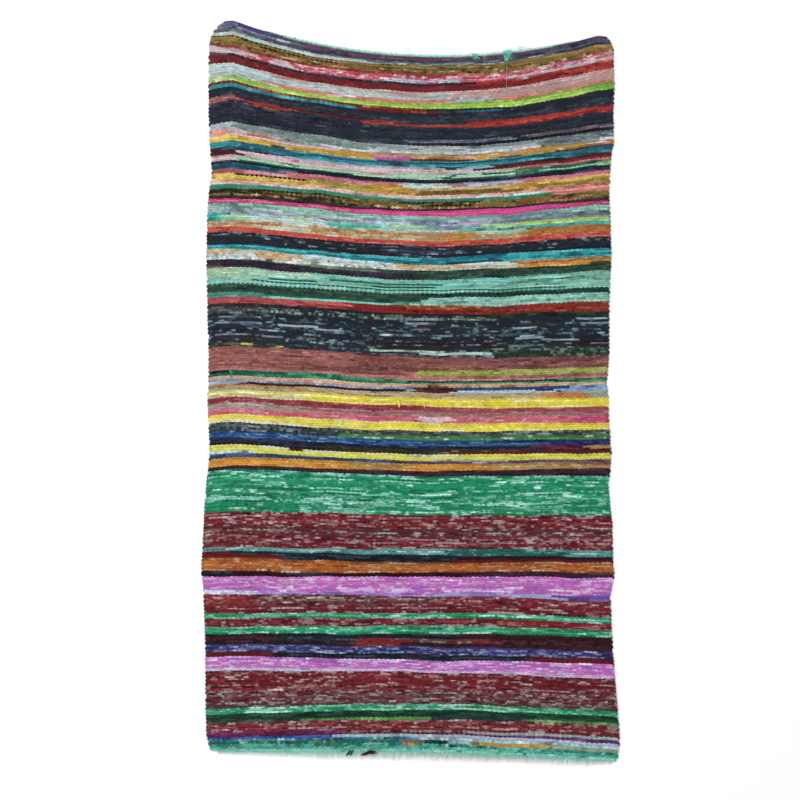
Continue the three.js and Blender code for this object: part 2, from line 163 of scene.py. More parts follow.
# The weaver's bag of rags. Each line is a rag's name, the colour of its ground, and the colours of its print
# or fray. After the stroke come the share of the rag that these cover, the length of their runs where it is
# not 16 mm, and what the rag was torn from where it is not cotton.
Rag = Enum("Rag", read_rags("""
violet 463f6b 8d8bb6 / 0.4 40
lavender 7f7da3 b3b6cf 4d4a70 / 0.4 40
ink_violet 3a3947 575a68 6c4468 48586c 22222c / 0.5 14
plum 643a5c 454052 84507c / 0.45 20
slate 48515a 78838a 343c46 5c6c78 / 0.5 14
slate_pale 5d6b6e b5c6c4 3c4a50 / 0.5 16
slate_rose 6a5a66 94808c / 0.3
pale_mint b0c8c6 dbe6e4 809896 c4a8a4 / 0.45 16
gold_mottle 8c7438 1c1c18 ccb47c 8c4c24 1c1c18 3c4c2c / 0.75 8
gold_streak 967a3a bca060 6c5428 443c28 / 0.5 14
olive_mottle 2a2a20 8a7438 6c5c34 1c1c18 / 0.5 8
brick 93392f b0604c / 0.2
rose b84254 f0d4da 8c2c3c dc7c88 c4bccc / 0.55 12
rose_white c05064 ece6ea e0b4bc 8c2c3c e8e2e6 / 0.65 11
pale_pink c8aeb2 b45c6c e6dadc 94848c / 0.5 14
salmon_rose c76b66 dba09a / 0.25
lavender_white c3bfcf 8f7f96 / 0.3
white_rose d3c9cc b8433f / 0.35 12
navy 262b36 4a5666 4a3a4c 2c4a54 / 0.3 14
navy_violet 2c2d3f 46465c / 0.15
bright_red a83028 cc5444 7c2424 4c2830 / 0.45 14
dark_red 701f22 4a1a20 94343a / 0.45 14
brick_red 8f2824 6d2024 / 0.3
dusty_salmon b48c86 d3b4ae a8645c acaca8 / 0.55 16
ash a4a8a4 c8cecc c49c98 848a88 / 0.55 16
dusty_pink b89490 d8c0be a8605c c8a4a0 9c9c98 / 0.55 16
salmon d67d76 e5a49c / 0.25
pale_lime b9d48b d4e4b4 / 0.3
lime 9cc640 bce070 80a834 / 0.4 18
leaf 7cb444 a4d068 5c8c34 / 0.4 18
rust_dark 6e2a24 b35a42 / 0.2
teal 1a909a 60bcbc 185c68 / 0.45 14
teal_dark 1c6c7a 3c94a4 164450 / 0.45 14
teal_navy 1f4a5c 34647a / 0.25
dusty_red 9a5450 b8807a / 0.25
brick_dark 5d272b 43232c / 0.3
red a33229 c4584a / 0.2
slate_navy 3b4450 586472 / 0.25
slate_blue 556274 7a879a / 0.3
ink_brown 2b2426 453a3c / 0.2
black 1c1f24 343940 / 0.15
pale_grey a9b6b8 cbd5d6 / 0.3
sage_grey 778a88 9fb0ad / 0.3
slate_grey 68757c 8b989e / 0.3
white_grey c6d2d6 9fb0b6 / 0.25
dusty_rose 9e5e59 b87c78 / 0.25
old_gold bc9030 d8b868 8c6824 / 0.45 16
beige_orange c0905f d8b48c / 0.25
orange c27a34 d89a58 / 0.25
yellow_gold d0ac30 e4cc68 a08028 / 0.45 16
beige c9b48c dccfb4 / 0.25
pink_plum b0588a c886a8 / 0.25
brown_gold 8f6a34 b08c4c / 0.25
olive_dark 4a4630 6a6444 / 0.25
maroon_dark 4d2428 6b3a3c / 0.2
maroon_red 6f2228 8c3a3c / 0.2
brick_rose b0605c c88a84 / 0.25
plum_slate 4c3a52 6a5a70 / 0.25
blue_grey 8a9db3 b0c0d0 / 0.3
mint_pale a4d0b4 cce8d4 6ca488 / 0.45 14
emerald_dark 1f6a50 34866a / 0.25
leaf_dark 3f7a5a 64987a / 0.25
leaf_pale 8fbf8f b4d8b0 / 0.3
ink 1f2530 3a4452 / 0.15
indigo_ink 2c2c4c 44466c / 0.2
blue_teal 215a6e 3c7c90 / 0.25
salmon_pink cf7480 e0a0a4 / 0.25
white_mint c5dad8 98b8b4 e2eeec 58706c / 0.4 12
rose_grey a98a90 c4aeb0 / 0.3
orange_salmon d0805c e0a688 / 0.25
ochre bc8c28 d8b058 906c20 / 0.45 16
ochre_dark 7a5c1e 9a7a34 / 0.25
beige_gold c4b078 dccda4 / 0.3
yellow_olive b3a43c ccc068 / 0.25
olive_gold 94792f b09a54 / 0.25
salmon_pale d6a79c e6c8c0 / 0.3
green_teal 2f8a6c 58a98c / 0.3
plum_black 3a2733 523c4a / 0.2
rose_pink cc4478 e080a0 a83060 / 0.45 16
hot_pink dc3c90 ec74b0 b03474 / 0.3 25 satin
sea_mint 7fc0ac a8d8c8 / 0.3
sage_teal 6f9e95 94bab2 / 0.3
mint_grey 9ab7b0 bccfca / 0.3
pale_blue bdd3dc 98b4c2 / 0.25
blue_streak 7894a4 a8c0cc 4c6070 / 0.6 14
lavender_grey a9a9bd c6c6d6 / 0.3
turquoise 2fb0a0 68c8ba / 0.25
turquoise_pale 7ccabd a4dcd2 / 0.3
turquoise_deep 1f9e9c 4cb6b2 / 0.25
lime_mint a8cf85 c6e0ac / 0.3
orange_tan cc8c4c e8d0a0 a86c34 b8c4a8 / 0.55 10
beige_mint c7cdb2 e4e8d4 c89c5c 88b4a0 / 0.55 10
beige_brown b89c70 e0d0a8 c88838 7c9c88 / 0.6 10
orange_gold cc8a28 e4b868 a06820 / 0.45 14
orange_brown b87430 d8a460 8c5424 / 0.45 14
orange_beige cc9c68 e8d8b8 b87c44 a8b8a0 / 0.55 10
coral cc4a3e e08070 / 0.15
ink_fleck 212b34 5c7888 8ca6b4 2c3840 442a32 / 0.42 12
ink_blue_fleck 28303e 90a6c0 4c5c74 / 0.4 12
ink_slate 242d36 44525e / 0.25
ink_maroon 2c1f26 4a2a34 / 0.25
teal_bright 169ca6 54bcc0 1c5868 / 0.45 14
teal_deep 0f6f80 2c8c9c / 0.2
teal_ink 1b4856 30647a / 0.2
orange_cream d4a464 ecdcbc c88c44 b4b8a4 / 0.6 10
cream d5cdb8 bcb094 / 0.25
cream_mint ccd6c4 a8bca4 / 0.25
white_speck d3dedb 2c3838 8ea09c / 0.4 7
ink_plum 33283a 4c4054 / 0.2
sage_leaf 7fa07a a0bc98 / 0.3
green_grey 5a6f62 7c9082 / 0.3
dark_green 2c4a3c 466a58 / 0.2
plum_olive 5a4c44 7c6e60 / 0.25
mint_olive b5c4a0 d0dabe / 0.3
mint 7cd0bc a8e2d4 54a48c / 0.35 18
mint_green 7cbfa6 a4d6c2 / 0.3
aqua 77d0c4 a0e0d8 / 0.25
sea_dark 2a6c5e 1c4c42 / 0.25
sea_shade 4f9484 84cdbb 2c6458 / 0.65 10
ink_green 1e3a34 30544c / 0.2
aqua_mint 86c9b5 b0dccc / 0.3
sea_green 4f9d88 78b8a4 / 0.3
rose_red b8444b cc7478 / 0.25
coral_red bf5a52 d08480 / 0.25
deep_red 8e2322 6c1a1e / 0.25
gold_red 8f3420 c08a35 / 0.35 12
brick_speck 8c2a25 b0603a / 0.3 12
crimson 9f3030 b85450 / 0.25
brown_ink 2f2a2c 4a4446 / 0.25
green_ink 22332c 3c5448 / 0.25
slate_brown 4a4a4a 6e6e6c / 0.3
mint_grey_fleck 26302f b0c4b6 7c9288 / 0.5 12
slate_fleck 2c3640 8098a6 56687a 1c242c / 0.5 12
maroon_ink 3a1e24 552a34 / 0.25
green_ink_fleck 22332c 7c9484 4a6454 / 0.25 9
olive_fleck 2f322c a39a4c 6c6c58 / 0.25 9
rose_brown 864f4a a0706a / 0.25
rose_dark 7d4a48 9a6a66 / 0.25
rose_salmon b5706a cc9690 / 0.3
yellow_green a5ad4d c2c878 / 0.3
emerald 1d8a66 48a888 / 0.25
peach d0a480 a05c44 e8ccb0 b8b0a0 / 0.5 12
rust_brown 7a4030 9c6448 / 0.3
peach_brown b08060 d0aa88 / 0.3
lavender_blue a3a9c9 c4c8de / 0.3
navy_blue 33507a 5674a0 / 0.25
sky_blue 7fa6d0 a8c4e0 / 0.3
indigo 302e6c 504c94 / 0.25
tan_orange c08848 d4aa78 / 0.3
beige_tan bfa880 d6c6a8 / 0.3
grey_beige a29f8a c0bead / 0.3
yellow_pale e2d968 f2eeb4 ccc24c / 0.4 20
yellow eada1c f4ee90 ccbc28 / 0.4 20
yellow_white e5e2b0 d4cc70 / 0.3
crimson_pink a03444 c46878 7c2838 b89c98 / 0.45 18
crimson_rose a84a58 cc8090 8c3444 / 0.45 18
grey_rose a59a8e c0b4aa 8c6c64 / 0.35
taupe_rose 9c6e6a c49a92 84484c b07c80 / 0.5 18
pink d9647c eca8b4 bc4458 / 0.45 16
pink_white e6b8c2 efd6da / 0.3
ink_slate_fleck 2c343c 6f7c84 8c9aa2 4c5c54 / 0.45 10
leaf_fleck 3f7c40 c4d8b8 2c5438 5c9c50 / 0.55 10
cobalt_light 23538f 5c90bc 18305c 88a8b8 / 0.55 14
cobalt 24528a 5484b4 182c58 3c6c9c / 0.55 14
navy_cobalt 1f3566 4c6ca4 141c38 / 0.5 14
steel_blue 33608c 6c8cb0 1f3458 / 0.4 16
ink_navy 1c2636 344258 / 0.2
maroon 5a1c28 7a3040 / 0.2 25 jersey
gold_dark a8843f c4a464 / 0.3
ink_olive 2e2f26 484a3a / 0.25
maroon_gold 5f3220 906c34 / 0.3 15
white_lemon e2e4c0 ccd088 / 0.3
lemon d6d82c e8e878 b4b024 / 0.35 25 satin
sage_lemon b9c48a d0d8a8 / 0.3
slate_violet 4a4560 6c6884 / 0.3
violet_plum 6a4a70 886c8e / 0.3
amber cc8a1c e2ae50 9c661c / 0.35 20
amber_ash b48c48 ccb478 8a7c50 94642c / 0.45 14
amber_plum 9a6a48 704a54 / 0.35
plum_ink 3c2434 563a4c / 0.25
emerald_streak 009264 b8f4ea 90dcc8 006444 / 0.56 26 jersey
maroon_streak 741c27 c4b2b0 b49a9a a0404c 3c161c / 0.54 12 jersey
maroon_grey 642a32 b0aca4 9c9890 84505a 2c1a20 / 0.54 10
maroon_grey_dark 5a3a3c 9c9890 3c2428 / 0.45 14
teal_pale 58a09c c4e0dc 1c605c 2c3c40 / 0.6 16
teal_green_dark 1c665e 8cc4bc 184844 3c9c90 / 0.55 16
oxblood 6b1a1e 4c1418 / 0.25 25 jersey
oxblood_ink 3a1a20 24141a / 0.3
oxblood_red 7a1f24 a88484 9c3c3c / 0.3 14 jersey
burnt_orange b4601f d8b088 8c4418 cc8440 6c3c1c / 0.6 14
ink_blue 2a3a4c 465a70 / 0.25
lilac c860c0 efe8fa d8c4f6 9c5cc4 e0b8f0 / 0.68 22 satin
lilac_violet 9a6ac4 c0a4dc / 0.3 25 satin
lilac_pale ccb4e0 e0d4ec / 0.3 25 satin
pale_lavender c9cfe8 a8a8d4 / 0.3 25 satin
periwinkle 8f90cf b4b8e0 / 0.3 25 satin
purple 5c3a98 7c5cb4 / 0.3 25 satin
emerald_pale 0c9868 bcf4e4 88d8bc 006c48 / 0.58 24 jersey
crimson_dark 8c1c24 b08c8c 5c161c / 0.35 14 jersey
blood_red 7d2428 9c4c4c / 0.25
indigo_fleck 3a3478 a8c0d8 7c88bc 22223c / 0.55 13
leaf_ink 1f4a30 3c6c4a / 0.25
leaf_green 4f8f45 78b064 / 0.3
plum_magenta 6a2056 86407a / 0.25
ash_grey 9aa5a2 bcc6c4 / 0.3
sage_mint 8fb5a8 b4d0c6 / 0.3
magenta_violet 7a3f8a 9c68a8 / 0.3
royal_blue 2f4a9a 5470b8 / 0.25
pale_sky a5bcd0 c6d6e4 / 0.3
pale_aqua_fleck a5cfd0 dcecec 4c9490 1c5c58 / 0.5 9
foot_mix 1c6c60 a8d0c8 103430 2f7ab0 a8a048 2c9c88 a86838 103430 54b4a0 / 0.85 7
foot_blue 2f86a0 a8d4dc 1c4c68 3c9c94 / 0.6 10
deep_teal 1e7262 0c4c40 38a890 6cc8b4 / 0.55 10
salmon_dark 9c584c 5c6c5c c4887e / 0.5 8
ink_teal 1c3f44 34606a / 0.25
white_fleck a8c0ac e4ece4 5c7c68 8c9c6c a87c5c / 0.65 12
turquoise_foot 62cab2 b4ecdf 1c8070 3cae98 98dccc 2c9484 / 0.6 10
mint_yarn 8fd4b8 5cb89c / 0.3 8
mint_white a4c8b8 dcece4 6c8c80 / 0.55 14
steel 6c8494 8ca2b0 465664 / 0.45 14
smudge 1c2220 2c3c38 / 0.2
mint_streak 4fae8c c4ebdf / 0.7 14
rose_streak 8c5a60 ccc4c0 / 0.7 10
sand_streak c08850 e0c8a0 / 0.7 12
"""))


# The weaver's chart, head to foot. Each line is one stripe: the height of its head edge along the weft that
# crosses the left hold point, read at the five stations across the rug, and then the rag that starts at the
# left selvedge and, after each distance across, the rag that is joined on there. A pair a+b is woven pick and
# pick, with b a thin rag that shows as a line, and a pair a/b is so too but shows as checks.
CHART = """
829 829 829 829 829 violet -290 mint_yarn 345 ink_violet
826 826 826 826 826 lavender -385 violet -262 plum 330 ink_violet
820 820 820 820 819 slate -385 lavender -315 slate_pale -240 ink_violet -120 plum 275 ink_violet
815 814 814 815 812 slate_pale -345 slate -240 ink_violet 60 slate 250 ink_violet 300 slate_blue
810 809 810 809 806 slate 250 slate_blue 345 ink_violet
806 805 806 804 802 pale_mint -95 slate_pale 330 ink_violet
798 797 800 797 798 gold_mottle/olive_mottle -190 gold_mottle 180 gold_streak
791 791 790 790 793 gold_streak -330 gold_mottle/olive_mottle -150 gold_mottle 240 gold_streak
783 784 783 781 783 gold_mottle
774 778 776 767 769 brick 120 salmon_rose 200 rose_white
769 772 769 763 765 pale_pink -352 rose -292 pale_pink -245 rose -150 rose_white -60 rose
763 764 761 757 759 pale_pink -352 rose -292 pale_pink -245 rose -60 lavender_white 20 rose 50 \
    lavender_white 110 rose 225 white_rose
757 756 753 751 752 slate_rose -430 navy 165 bright_red 230 white_rose 280 bright_red
752 750 748 746 748 dark_red 150 brick_red 350 bright_red
736 735 735 734 736 pale_mint -312 dusty_salmon -205 ash -40 dusty_salmon 25 ash 110 dusty_pink
728 729 728 727 728 pale_mint -150 ash 100 dusty_pink
722 722 721 721 720 pale_mint 95 pale_pink 160 dusty_pink
715 716 716 715 715 pale_mint -312 salmon -175 pale_pink -132 salmon 82 pale_grey 180 salmon
709 708 708 708 710 pale_lime -395 lime 380 leaf
697 698 695 692 694 rust_dark -130 salmon -72 rust_dark 48 navy
691 693 689 688 689 teal -105 rust_dark 45 navy 108 teal_dark 200 navy
683 686 683 684 684 navy
665 666 662 664 660 dusty_red -390 brick_dark -345 brick -270 brick_dark -105 brick -15 navy 120 \
    brick_red 200 bright_red
658 659 656 656 654 dusty_red -390 navy -345 brick -272 navy -105 brick -15 red 235 bright_red
652 653 651 648 647 navy_violet -150 navy
634 636 634 634 632 navy
620 621 620 622 621 navy -100 slate_navy -5 slate_blue 215 navy 240 slate_rose
613 615 613 614 614 navy -20 ink_brown 110 black
605 612 607 607 607 pale_grey -395 sage_grey -12 pale_grey 115 sage_grey 310 slate_grey
597 602 600 599 599 pale_grey -395 sage_grey -110 pale_grey 290 slate_grey 430 pale_grey
591 592 592 591 591 salmon -400 dusty_pink -320 sage_grey -200 white_grey 240 pale_pink 310 slate_grey \
    420 white_grey
585 586 586 585 584 salmon -400 pale_pink -165 old_gold -60 beige_orange 140 old_gold 190 pale_pink 222 \
    old_gold 400 white_grey 435 orange
577 579 579 578 578 yellow_gold -300 beige -255 old_gold -62 pink_plum 0 beige_orange 148 old_gold 190 \
    pale_pink 222 old_gold 330 brown_gold 435 orange
569 573 573 572 573 yellow_gold -300 olive_dark -255 old_gold -62 pink_plum 8 maroon_dark 150 old_gold \
    192 plum_slate 228 old_gold 330 plum_slate
563 567 567 568 568 teal -405 teal_dark -262 teal+teal_navy -70 teal_navy 0 teal+teal_navy 300 teal_dark
556 559 560 561 561 teal -405 teal_dark -262 teal -70 teal_navy 0 teal 310 teal_dark
550 551 554 552 554 maroon_dark -395 teal_navy -335 maroon_dark -290 blue_grey 62 slate_navy 125 \
    blue_grey 160 maroon_dark
543 545 547 545 547 maroon_dark -392 pale_pink -215 dusty_pink -160 pale_pink 160 maroon_dark 255 maroon_red
537 538 540 540 541 maroon_dark -392 dusty_pink -340 pale_pink 50 dusty_pink 75 pale_grey 165 dusty_pink \
    255 brick_rose
532 533 535 535 536 pale_pink -385 mint_pale -275 emerald_dark -245 mint_pale -120 pale_pink -60 \
    mint_pale 70 leaf_dark 110 mint_pale 165 emerald_dark 187 mint_pale 215 leaf_dark 285 mint_pale 308 \
    emerald_dark 420 leaf_pale
527 528 528 527 528 pale_pink -385 mint_pale+emerald_dark -120 mint_pale 62 leaf_dark 110 \
    mint_pale+emerald_dark 215 leaf_dark 285 mint_pale+emerald_dark 415 leaf_pale
519 523 521 517 522 ink 120 indigo_ink 300 ink
514 518 516 513 516 blue_teal -275 ink 125 indigo_ink
509 513 511 509 510 blue_teal -275 salmon_pink -35 white_mint 70 rose_grey 115 lavender_white 225 \
    salmon_pink
501 506 504 503 504 salmon_pink -80 ochre -35 white_mint 65 salmon_pink 110 lavender_white 230 \
    salmon_pink 295 orange_salmon 330 salmon_pink
491 500 498 498 500 yellow_gold -375 yellow_gold/olive_mottle -205 yellow_olive -80 ochre 12 beige_gold \
    220 ochre 300 yellow_gold
484 492 491 490 492 yellow_gold -205 yellow_olive -80 ochre 0 ochre_dark 230 ochre 300 olive_gold
476 485 479 478 480 salmon_pale 268 salmon
471 480 474 473 473 salmon_pale -60 pale_pink 150 white_mint 200 salmon_pale 225 white_mint 275 salmon
467 475 469 467 467 green_teal 292 salmon
457 466 461 459 461 olive_mottle -340 gold_mottle/olive_mottle -150 gold_mottle 0 \
    gold_mottle/olive_mottle 150 gold_mottle
448 452 448 447 449 gold_mottle/olive_mottle -250 olive_mottle -100 gold_mottle/olive_mottle 200 \
    brown_gold/olive_mottle
443 446 442 441 443 plum_black
436 438 437 437 435 rose_pink -115 hot_pink 330 rose_pink
426 428 424 421 426 sea_mint 60 sage_teal 340 sea_mint
417 418 416 414 415 mint_grey -200 pale_mint -130 blue_grey 340 slate_grey
411 411 410 408 409 blue_grey -80 pale_blue 15 blue_grey 85 lavender_grey 190 slate_grey
404 405 402 402 402 turquoise -425 pale_mint -275 lime_mint -240 pale_mint -190 sea_mint -55 lime_mint 30 \
    sage_teal 90 blue_grey 180 lime_mint 235 lime
399 399 397 397 398 turquoise -425 pale_lime -340 pale_mint -190 turquoise -60 turquoise_pale 80 \
    sage_teal 200 lime_mint
394 394 393 393 393 turquoise -425 turquoise_pale -340 pale_mint -160 turquoise -130 pale_mint 80 \
    turquoise 215 turquoise_deep
386 390 388 387 387 orange_tan -268 beige_mint -208 orange_tan 0 beige_brown 90 orange_gold 150 \
    beige_mint 250 orange_brown
379 381 380 379 379 orange_beige -330 beige_mint -220 orange_beige -130 beige_brown 100 orange_gold 150 \
    beige_brown 260 orange_brown
372 370 367 368 372 coral
360 360 357 356 362 ink_fleck
348 348 346 346 350 ink_fleck -60 ink_blue_fleck 120 ink_fleck
340 340 338 339 344 ink_slate -380 ink -110 ink_maroon -40 ink_blue_fleck 50 ink_maroon 100 ink
331 334 330 335 338 teal_bright 0 teal_deep 220 teal_bright
326 328 322 327 329 teal_bright -120 teal_deep 60 teal_bright+teal_ink 215 teal_bright
321 322 314 317 320 orange_cream -385 cream_mint -345 orange_cream -255 white_mint -30 orange_cream 85 \
    white_mint 100 orange_cream 130 white_mint 238 orange
312 313 308 309 314 white_speck -350 orange_cream -262 white_speck -20 cream 240 orange_gold
305 306 304 305 309 white_speck -60 cream 240 orange_gold 380 dark_green
298 300 301 302 303 ink_plum -235 sage_leaf -150 green_grey -60 dark_green
291 293 292 293 296 ink_plum 0 dark_green
286 286 285 287 291 plum_olive -400 ink_plum 5 dark_green
281 280 278 281 288 mint_olive -400 mint_pale -220 aqua -150 mint 135 aqua 220 mint 350 mint_green
274 273 272 273 279 mint_pale -170 mint+sea_dark 75 aqua 235 sea_shade 320 mint 345 sea_shade 400 mint_green
266 265 265 265 271 mint_pale -340 mint+sea_dark -215 mint -110 mint+sea_dark 70 aqua 130 mint_green
260 258 258 258 262 mint_green -400 mint_pale -350 mint+sea_dark 360 mint_green
253 252 252 252 254 mint/sea_dark
245 245 246 248 250 dark_green 20 ink_green
236 236 236 237 239 dark_green 18 aqua_mint
226 226 226 227 229 sea_shade -320 mint+sea_dark -30 sea_green 20 aqua_mint
214 217 218 215 219 rose_red -235 coral_red -140 deep_red -15 gold_red 195 brick_speck
207 209 208 205 208 rose_red -235 crimson -140 deep_red 170 brick_speck
201 202 198 196 196 brown_ink -330 ink 150 green_ink
194 195 195 190 190 slate_brown -320 mint_grey_fleck -245 ink -225 mint_grey_fleck -140 ink_fleck -100 \
    mint_grey_fleck 190 green_ink 260 ink
183 184 183 183 184 slate_fleck -340 ink_fleck 380 slate_fleck
165 165 165 165 165 slate_fleck -340 ink_fleck
147 147 147 147 147 ink_fleck
138 138 138 138 137 ink_fleck -80 ink_fleck+maroon_ink 190 ink_fleck 330 ink_fleck+maroon_ink
122 122 122 122 121 ink_fleck 190 green_ink_fleck
113 112 112 112 113 olive_fleck -280 ink_fleck 190 green_ink_fleck
104 107 105 99 100 dusty_rose -130 rose_brown 200 rose_dark
88 88 88 87 87 dusty_rose -130 rose_brown 200 rose_dark
73 73 72 73 74 dusty_rose -250 rose_brown -25 rose_salmon 8 yellow_green
61 62 59 59 61 rose_salmon
51 56 48 49 51 ink_green -390 emerald_dark -255 emerald 10 ink_green 340 emerald
45 49 44 46 47 emerald
39 43 40 43 42 peach 20 rust_brown 75 peach_brown 128 peach
32 33 33 34 35 lavender_blue 15 maroon_dark 82 navy_blue 340 sky_blue
27 28 28 27 29 lavender_blue -385 ink_brown -28 blue_grey 15 maroon_dark 90 pale_blue 300 indigo 345 \
    sky_blue
21 23 22 20 21 tan_orange -215 beige_tan 285 orange 392 grey_beige
13 15 14 13 13 grey_beige -250 beige_tan 285 orange 392 grey_beige
7 12 9 9 6 yellow_pale -205 yellow 235 yellow_white 270 yellow
-1 2 1 0 -3 yellow_white -230 yellow
-8 -8 -8 -14 -14 crimson_pink 30 crimson_rose
-21 -21 -20 -24 -24 grey_rose -240 taupe_rose
-33 -33 -32 -34 -33 pink 0 pink_white 95 pink 390 rose_pink
-46 -45 -45 -47 -50 yellow -190 yellow_pale -60 yellow
-56 -57 -56 -58 -58 yellow_white -250 yellow_pale -130 yellow 60 yellow_pale 110 yellow
-64 -66 -64 -66 -65 ink_slate_fleck
-74 -75 -75 -75 -76 ink_slate_fleck -170 leaf_fleck
-83 -84 -85 -85 -87 cobalt_light -150 cobalt 180 navy_cobalt 350 indigo
-91 -92 -92 -92 -94 cobalt_light -150 cobalt 80 steel_blue 300 indigo
-98 -98 -98 -99 -100 indigo_ink -270 ink_navy 290 maroon 405 gold_dark
-106 -106 -106 -107 -108 ink -190 ink_olive 80 maroon_gold 170 maroon
-113 -117 -116 -116 -118 yellow_pale -350 white_lemon -280 maroon -250 white_lemon -160 yellow_pale -30 \
    lemon 15 white_lemon 120 lemon
-120 -122 -122 -122 -124 lemon
-127 -127 -127 -127 -128 white_mint -362 lemon 15 sage_lemon 130 lemon
-134 -131 -131 -130 -131 navy_blue -60 slate_violet 0 violet_plum 130 lavender_white 195 violet_plum
-144 -138 -138 -137 -137 amber -150 amber_ash 0 amber 185 amber_ash 380 amber_plum
-155 -148 -147 -146 -145 amber -100 amber_ash -10 amber 185 amber_ash
-163 -157 -154 -152 -151 plum_ink
-171 -166 -166 -165 -168 emerald_streak
-264 -260 -259 -259 -261 maroon_streak
-293 -292 -292 -291 -293 maroon_grey
-312 -312 -312 -311 -312 maroon_streak
-344 -342 -338 -337 -342 teal_pale 85 teal_green_dark 330 teal_pale
-353 -352 -352 -354 -357 oxblood -380 ink_slate -300 ink 130 oxblood_ink
-360 -361 -362 -362 -363 oxblood -300 ink 90 oxblood
-368 -369 -371 -369 -369 burnt_orange
-397 -398 -394 -390 -392 ink -370 oxblood_ink -265 ink_blue -175 oxblood_ink 140 plum_ink
-410 -406 -403 -401 -403 lilac
-440 -441 -440 -440 -442 pale_lavender -330 lilac_violet 60 periwinkle 330 purple
-449 -446 -447 -446 -455 oxblood_red -355 maroon_grey 60 maroon_streak
-475 -470 -466 -466 -470 maroon_streak
-491 -487 -484 -482 -490 emerald_pale
-503 -498 -496 -494 -503 maroon_streak 200 crimson_dark
-521 -516 -511 -511 -517 emerald_pale
-537 -533 -530 -527 -532 ink_maroon -300 ink 90 maroon_ink
-544 -541 -540 -539 -541 maroon_ink -300 ink_slate -145 blood_red -10 maroon_grey_dark 115 maroon_red 200 \
    maroon_ink
-552 -550 -549 -549 -551 ink_maroon -145 blood_red -10 maroon_ink
-561 -559 -558 -557 -563 indigo_fleck
-577 -576 -574 -575 -577 oxblood -300 ink 255 oxblood
-588 -587 -588 -586 -588 lilac
-614 -612 -612 -612 -616 pale_lavender -230 lilac_pale
-620 -619 -618 -619 -624 maroon_streak
-664 -664 -664 -664 -664 maroon_grey
-694 -694 -694 -694 -694 maroon_grey_dark
-703 -701 -701 -700 -703 emerald_pale
-716 -715 -714 -713 -714 leaf_ink
-723 -721 -720 -719 -721 ink_green 280 leaf_ink
-730 -730 -729 -728 -727 leaf_ink -250 leaf_green 60 ink_green 240 leaf_green
-735 -735 -737 -732 -733 maroon_streak
-758 -758 -758 -757 -756 plum_magenta -180 maroon_grey 110 ash_grey 400 sage_mint
-764 -764 -763 -763 -762 plum_magenta -180 maroon_grey 160 magenta_violet
-769 -767 -767 -767 -769 royal_blue -180 pale_sky 50 lavender_blue 160 pale_lavender
-773 -773 -773 -773 -774 foot_blue 20 pale_aqua_fleck
-778 -778 -777 -778 -779 foot_mix -20 salmon_dark 20 ink_teal 100 pale_aqua_fleck 145 amber 292 white_fleck
-784 -784 -783 -784 -785 deep_teal -420 foot_mix -240 deep_teal -60 foot_mix 80 deep_teal
-790 -790 -789 -789 -790 turquoise_foot
"""

# Single short pieces of rag laid into a stripe: the rag, where it starts and ends across the rug, and the
# heights between which it lies, as in the chart.
STREAKS = """
blue_streak -435 -335 160 157
blue_streak -300 -205 160 158
blue_streak -215 -150 155 151
blue_streak -340 -282 146 143
blue_streak -430 -385 173 170
blue_streak -72 -40 150 149
blue_streak -25 3 150 149
blue_streak 242 292 146 139
blue_streak 288 340 138 133
blue_streak 338 375 135 134
blue_streak 222 285 165 163
blue_streak -435 -358 134 131
blue_streak -330 -285 133 128
blue_streak 375 440 182 181
blue_streak 380 442 172 171
maroon_dark -440 -300 127 126
steel -10 62 178 176
maroon 18 52 167 166
mint_white -92 -28 117 116
mint_white -50 80 115 111
mint_white 15 110 111 108
mint_white 100 190 108 106
yellow_olive -385 -355 110 107
yellow_olive -300 -285 111 108
mint_streak -330 -280 -195 -205
mint_streak -450 -350 -204 -206
mint_streak -400 -250 -215 -220
mint_streak -130 -30 -240 -242
mint_streak 200 340 -238 -245
mint_streak 350 450 -190 -193
rose_streak -450 -390 -277 -279
rose_streak -380 -320 -272 -274
rose_streak 310 360 -269 -271
sand_streak -140 20 -380 -384
sand_streak 280 350 -370 -372
smudge 76 94 241 237
"""

# Guide wefts, head to foot: heights at the two hold points, how far the weft sags between them, how broad
# the sag is, and how far its ends fall past the hold points.
GUIDE_WEFTS = np.array(rows_of("""
829 795 60 0.8 9 2
770 760 55 0.9 -11 -6
734 718 54 0.8 4 -4
699 680 50 0.9 9 -4
605 583 45 0.75 9 -2
429 423 27 0.5 2 0
326 310 20 0.4 1 0
204 190 15 0.3 2 -1
45 29 13 0.6 5 -1
-170 -187 11 0.3 4 0
-261 -274 7 0.3 4 0
-384 -392 3 0.5 0 1
-591 -607 0 0.5 1 2
-705 -711 -10 0.5 0 2
-768 -779 -12 0.5 -2 2
-799 -818 -8 0.5 -2 3
"""), float)

# Selvedges, head to foot: height up the rug, and how far left and right of its middle the cloth reaches.
SELVEDGES = np.array(rows_of("""
830 414 424
821 425 426
811 437 429
795 446 436
780 449 449
766 449 453
735 450 453
690 450 455
624 450 452
556 448 454
534 446 448
489 443 445
444 450 443
400 453 445
310 455 448
199 453 443
87 450 443
20 450 437
-2 453 441
-69 450 443
-136 448 448
-181 453 445
-203 455 441
-248 459 445
-293 461 450
-382 466 452
-404 466 455
-449 461 446
-516 459 448
-583 457 452
-672 457 459
-761 455 466
-784 450 466
-806 442 463
-828 438 459
"""), float)


@dataclass(frozen=True)
class Fold:
    """A soft fold below a hold point, highest at the head edge."""

    crest: float
    height: float
    run: float
    spread_left: float
    spread_right: float


